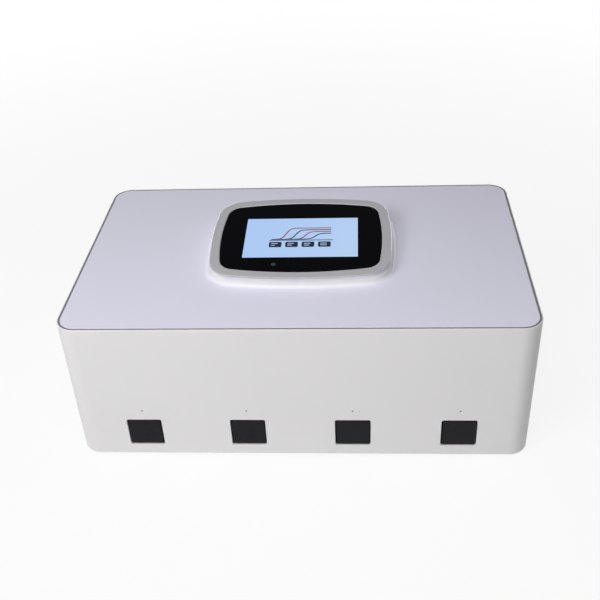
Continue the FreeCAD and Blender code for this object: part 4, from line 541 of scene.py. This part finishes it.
def ring_mesh(outer, inner, low, high):
    """A flat ring about the origin."""
    mesh = bmesh.new()
    turns = [2 * math.pi * step / RING_STEPS for step in range(RING_STEPS)]
    circles = []
    for radius in (outer, inner):
        for z in (low, high):
            circles.append([mesh.verts.new((radius * math.cos(turn), radius * math.sin(turn), z))
                            for turn in turns])
    for first, second in ((0, 1), (1, 3), (3, 2), (2, 0)):
        for step in range(RING_STEPS):
            after = (step + 1) % RING_STEPS
            mesh.faces.new([circles[first][step], circles[first][after],
                            circles[second][after], circles[second][step]])
    bmesh.ops.recalc_face_normals(mesh, faces=mesh.faces)
    return mesh


def join_mesh(mesh, other):
    """Add another mesh to this one, and free it."""
    copy = bpy.data.meshes.new("joined")
    other.to_mesh(copy)
    other.free()
    mesh.from_mesh(copy)
    bpy.data.meshes.remove(copy)


def curve_path(bay):
    """A run's curve on the screen: each bay's rises later and less far than the last."""
    middle = CURVE_MIDDLE + CURVE_DELAY * bay
    path = []
    for step in range(CURVE_POINTS):
        along = -CURVE_HALF + step * 2 * CURVE_HALF / (CURVE_POINTS - 1)
        rise = (CURVE_RISE - CURVE_DROP * bay) / (1 + math.exp((middle - along) / CURVE_SLOPE))
        path.append((along, CURVE_Y + rise))
    return path


def add_screen():
    """The lit area of the display, with a plain run screen: four bays and their curves."""
    low = GLASS_TOP
    high = low + SCREEN_THICK
    look = glow("screen_glow", (0.395, 0.573, 0.895), (0.455, 0.617, 0.862))
    outline = shifted(rounded_outline(*SCREEN_SIZE, SCREEN_CORNER), 0, SCREEN_SHIFT)
    add_mesh("screen_image", plate_mesh(outline, low, high), "body", look, POD)

    low = high
    high = low + SCREEN_THICK
    dark = glow("screen_dark", (0.012, 0.016, 0.032), (0.014, 0.018, 0.036))
    red = glow("screen_red", (0.30, 0.025, 0.05), (0.36, 0.03, 0.06))
    pale = glow("screen_pale", (0.42, 0.60, 0.88), (0.44, 0.62, 0.88))
    tiles = bmesh.new()
    bars = bmesh.new()
    dark_curves = bmesh.new()
    red_curves = bmesh.new()
    for bay in BAYS:
        x = (bay - 2.5) * TILE_PITCH + TILE_SHIFT
        tile = shifted(rounded_outline(*TILE_SIZE, TILE_CORNER), x, TILE_Y)
        join_mesh(tiles, plate_mesh(tile, low, high))
        for row, length in enumerate((BAR_LONG, BAR_SHORT + bay * BAR_GROWTH)):
            bar = rounded_outline(length, BAR_WIDTH, BAR_CORNER)
            bar = shifted(bar, x + length / 2 - BAR_START, BAR_Y - row * BAR_PITCH)
            join_mesh(bars, plate_mesh(bar, high, high + SCREEN_THICK))
        # each curve is a hair higher than the last, so none shares a face where they cross
        curve = ribbon_mesh(curve_path(bay), CURVE_WIDTH, low, high + bay * CURVE_LIFT)
        join_mesh(red_curves if bay % 2 else dark_curves, curve)
    base = [(-BASE_HALF, BASE_Y), (BASE_HALF, BASE_Y)]
    join_mesh(tiles, ribbon_mesh(base, BASE_WIDTH, low, high))
    for name, mesh, look in (("screen_tiles", tiles, dark), ("screen_bars", bars, pale),
                             ("screen_dark_curves", dark_curves, dark),
                             ("screen_red_curves", red_curves, red)):
        add_mesh(name, mesh, "body", look, POD)


def add_indicator():
    """The green mark on the power indicator: a ring round a dot."""
    low, high = GLASS_TOP, GLASS_TOP + SCREEN_THICK
    mesh = ring_mesh(*INDICATOR_RING, low, high)
    dot = rounded_outline(INDICATOR_DOT, INDICATOR_DOT, INDICATOR_CORNER)
    join_mesh(mesh, plate_mesh(dot, low, high))
    look = glow("indicator_glow", (0.018, 0.09, 0.048), (0.02, 0.10, 0.052))
    place = POD @ Matrix.Translation((*INDICATOR, 0))
    add_mesh("indicator_mark", mesh, "body", look, place)


def add_tray_details():
    """On each tray: a seal round the window, contacts in the recess, and a way-in mark."""
    for bay in BAYS:
        body = "tray_%d" % bay
        window = Matrix.Translation((BAY_X[bay], WINDOW_Y, 0))
        path = rounded_outline(SEAL_SIZE, SEAL_SIZE, SEAL_CORNER)
        path.append(path[0])
        seal = ribbon_mesh(path, SEAL_WIDTH, RECESS_FLOOR, RECESS_FLOOR + SEAL_THICK)
        add_mesh("window_seal_%d" % bay, seal, body, MATERIALS["pad"], window)

        contacts = bmesh.new()
        for step in range(6):
            pad = rounded_outline(*CONTACT_SIZE, CONTACT_CORNER)
            pad = shifted(pad, (step - 2.5) * CONTACT_PITCH, CONTACT_BACK)
            join_mesh(contacts, plate_mesh(pad, RECESS_FLOOR, RECESS_FLOOR + CONTACT_THICK))
        add_mesh("chip_contacts_%d" % bay, contacts, body, MATERIALS["gold"],
                 window)

        high = TRAY_TOP + ARROW_THICK
        arrow = [(-ARROW_HALF, 0), (ARROW_HALF, 0), (0, ARROW_LENGTH)]
        mark = plate_mesh(arrow, TRAY_TOP, high)
        half, y = ARROW_BAR
        join_mesh(mark, ribbon_mesh([(-half, y), (half, y)], ARROW_BAR_WIDTH, TRAY_TOP, high))
        place = Matrix.Translation((BAY_X[bay], ARROW_Y, 0))
        add_mesh("tray_mark_%d" % bay, mark, body, MATERIALS["mark"], place)


def add_rear_details():
    """Contacts and link lights of the sockets, and the on and off marks of the switch."""
    contacts = bmesh.new()
    for port_x in USB_X:
        for aside in USB_CONTACTS:
            strip = [(port_x + aside, y) for y in USB_STRIP]
            join_mesh(contacts, ribbon_mesh(strip, USB_STRIP_WIDTH, USB_TONGUE_Z[0],
                                            USB_STRIP_TOP))
    for step in range(8):
        x = NETWORK_X + (step - 3.5) * NETWORK_PITCH
        strip = [(x, y) for y in NETWORK_STRIP]
        join_mesh(contacts, ribbon_mesh(strip, NETWORK_STRIP_WIDTH, *NETWORK_STRIP_Z))
    add_mesh("socket_contacts", contacts, "body", MATERIALS["gold"])

    upright = Matrix.Rotation(math.radians(-90), 4, "X")
    for name, side in (("link_green", 1), ("link_amber", -1)):
        light = plate_mesh(rounded_outline(*LINK_SIZE, LINK_CORNER), 0, LINK_THICK)
        place = Matrix.Translation((NETWORK_X + side * LINK_ASIDE, PORT_FACE, LINK_HEIGHT))
        add_mesh(name, light, "body", MATERIALS[name], place @ upright)

    pin = Matrix.Translation((SWITCH_X, SWITCH_PIN_Y, PORT_HEIGHT))
    rocker = pin @ Matrix.Rotation(ROCKER_TIP, 4, "X")
    off_ring = ring_mesh(*OFF_RING, 0, MARK_THICK)
    on_line = ribbon_mesh([(0, -ON_HALF), (0, ON_HALF)], ON_WIDTH, 0, MARK_THICK)
    for name, side, mark in (("switch_off_mark", 1, off_ring), ("switch_on_mark", -1, on_line)):
        lean = Matrix.Rotation(-math.pi / 2 - side * ROCKER_TIP, 4, "X")
        face = Matrix.Translation((0, ROCKER_FACE + MARK_REACH * math.sin(ROCKER_TIP),
                                   side * MARK_REACH * math.cos(ROCKER_TIP)))
        add_mesh(name, mark, "rocker", MATERIALS["mark"], rocker @ face @ lean)


# Studio

WORLD_SOFT = 0.11
FLOOR_WHITE = 0.86
FLOOR_FADE = (0.35, 1.6)
FLOOR_HALF = 6.0
HORIZON_FADE = (0.15, 0.5)
CAMERA_PLACE = (0.0630, -0.8101, 0.6703)
CAMERA_YAW, CAMERA_PITCH, CAMERA_ROLL = -0.084, 0.6106, -0.0546
PLAIN = (1.0, 1.0, 1.0)
COOL = (0.97, 0.98, 1.0)

# name, place, point lit, size, watts, colour
LAMPS = [
    ("key", (-0.9, -1.0, 1.1), (0, 0, 0.08), (0.7, 0.7), 10.5, PLAIN),
    ("top_front", (-0.1, -0.7, 1.6), (0, 0, 0.08), (0.9, 0.6), 9.7, PLAIN),
    ("top_near", (-0.08, -0.62, 1.0), (0, -0.05, 0.08), (0.7, 0.45), 1.8, PLAIN),
    ("rear_right", (1.0, 1.7, 0.12), (0, 0.1, 0.08), (1.0, 0.16), 14.0, COOL),
    ("rear_left", (-1.0, 1.7, 0.12), (0, 0.1, 0.08), (1.0, 0.16), 14.0, COOL),
]


def add_lamps():
    for name, place, target, size, power, colour in LAMPS:
        data = bpy.data.lights.new(name, "AREA")
        data.shape = "RECTANGLE"
        data.size, data.size_y = size
        data.energy = power
        data.color = colour
        light = bpy.data.objects.new(name, data)
        scene.collection.objects.link(light)
        light.location = place
        aim = Vector(target) - Vector(place)
        light.rotation_euler = aim.to_track_quat("-Z", "Y").to_euler()


def add_floor():
    """A matt floor, mostly white to the camera and in reflections, and fully white far off."""
    mesh = bmesh.new()
    bmesh.ops.create_grid(mesh, x_segments=1, y_segments=1, size=FLOOR_HALF)
    data = bpy.data.meshes.new("floor")
    mesh.to_mesh(data)
    mesh.free()
    floor = bpy.data.objects.new("floor", data)
    scene.collection.objects.link(floor)
    material = bpy.data.materials.new("floor_white")
    material.use_nodes = True
    tree = material.node_tree
    tree.nodes.clear()
    matt = add_node(tree, "ShaderNodeBsdfDiffuse")
    matt.inputs["Color"].default_value = (0.82, 0.82, 0.83, 1)
    white = add_node(tree, "ShaderNodeEmission")
    white.inputs["Color"].default_value = (1, 1, 1, 1)
    white.inputs["Strength"].default_value = 1.0
    path = add_node(tree, "ShaderNodeLightPath").outputs
    seen = calculate(tree, "MAXIMUM", path["Is Camera Ray"], path["Is Glossy Ray"])
    away = add_node(tree, "ShaderNodeVectorMath", operation="LENGTH")
    tree.links.new(own_place(tree), away.inputs[0])
    fade = smooth_range(tree, away.outputs["Value"], *FLOOR_FADE, FLOOR_WHITE, 1.0)
    mix = add_node(tree, "ShaderNodeMixShader")
    tree.links.new(calculate(tree, "MULTIPLY", seen, fade), mix.inputs["Fac"])
    tree.links.new(matt.outputs[0], mix.inputs[1])
    tree.links.new(white.outputs[0], mix.inputs[2])
    out = add_node(tree, "ShaderNodeOutputMaterial")
    tree.links.new(mix.outputs[0], out.inputs["Surface"])
    data.materials.append(material)


def add_world():
    """Soft light all round, white for the camera, and a white horizon in reflections."""
    world = bpy.data.worlds.new("studio")
    scene.world = world
    world.use_nodes = True
    tree = world.node_tree
    tree.nodes.clear()
    soft = add_node(tree, "ShaderNodeBackground")
    soft.inputs["Color"].default_value = (0.95, 0.96, 1.0, 1)
    soft.inputs["Strength"].default_value = WORLD_SOFT
    white = add_node(tree, "ShaderNodeBackground")
    white.inputs["Color"].default_value = (1, 1, 1, 1)
    white.inputs["Strength"].default_value = 1.0
    way = add_node(tree, "ShaderNodeTexCoord")
    height = split_place(tree, way.outputs["Generated"])["Z"]
    horizon = smooth_range(tree, height, *HORIZON_FADE, 1.0, 0.0)
    path = add_node(tree, "ShaderNodeLightPath").outputs
    glossy = calculate(tree, "MULTIPLY", path["Is Glossy Ray"], horizon)
    seen = calculate(tree, "MAXIMUM", path["Is Camera Ray"], path["Is Transmission Ray"])
    seen = calculate(tree, "MAXIMUM", seen, glossy)
    mix = add_node(tree, "ShaderNodeMixShader")
    out = add_node(tree, "ShaderNodeOutputWorld")
    tree.links.new(seen, mix.inputs["Fac"])
    tree.links.new(soft.outputs[0], mix.inputs[1])
    tree.links.new(white.outputs[0], mix.inputs[2])
    tree.links.new(mix.outputs[0], out.inputs["Surface"])


def add_camera():
    """The photograph's view, from a fit of the casing's edges."""
    across, ahead_share = math.sin(CAMERA_YAW), math.cos(CAMERA_YAW)
    flat = math.cos(CAMERA_PITCH)
    ahead = Vector((across * flat, ahead_share * flat, -math.sin(CAMERA_PITCH)))
    level = Vector((ahead_share, -across, 0))
    upward = level.cross(ahead)
    right = math.cos(CAMERA_ROLL) * level + math.sin(CAMERA_ROLL) * upward
    top = -math.sin(CAMERA_ROLL) * level + math.cos(CAMERA_ROLL) * upward
    turn = Matrix((right, top, -ahead)).transposed().to_4x4()
    data = bpy.data.cameras.new("camera")
    data.lens = 52.55
    data.sensor_width = 36.0
    data.clip_start = 0.01
    data.clip_end = 30.0
    camera = bpy.data.objects.new("camera", data)
    scene.collection.objects.link(camera)
    camera.matrix_world = Matrix.Translation(CAMERA_PLACE) @ turn
    scene.camera = camera


dress_nodes()
add_screen()
add_indicator()
add_tray_details()
add_rear_details()
add_floor()
add_world()
add_camera()
add_lamps()
scene.view_settings.view_transform = "Standard"
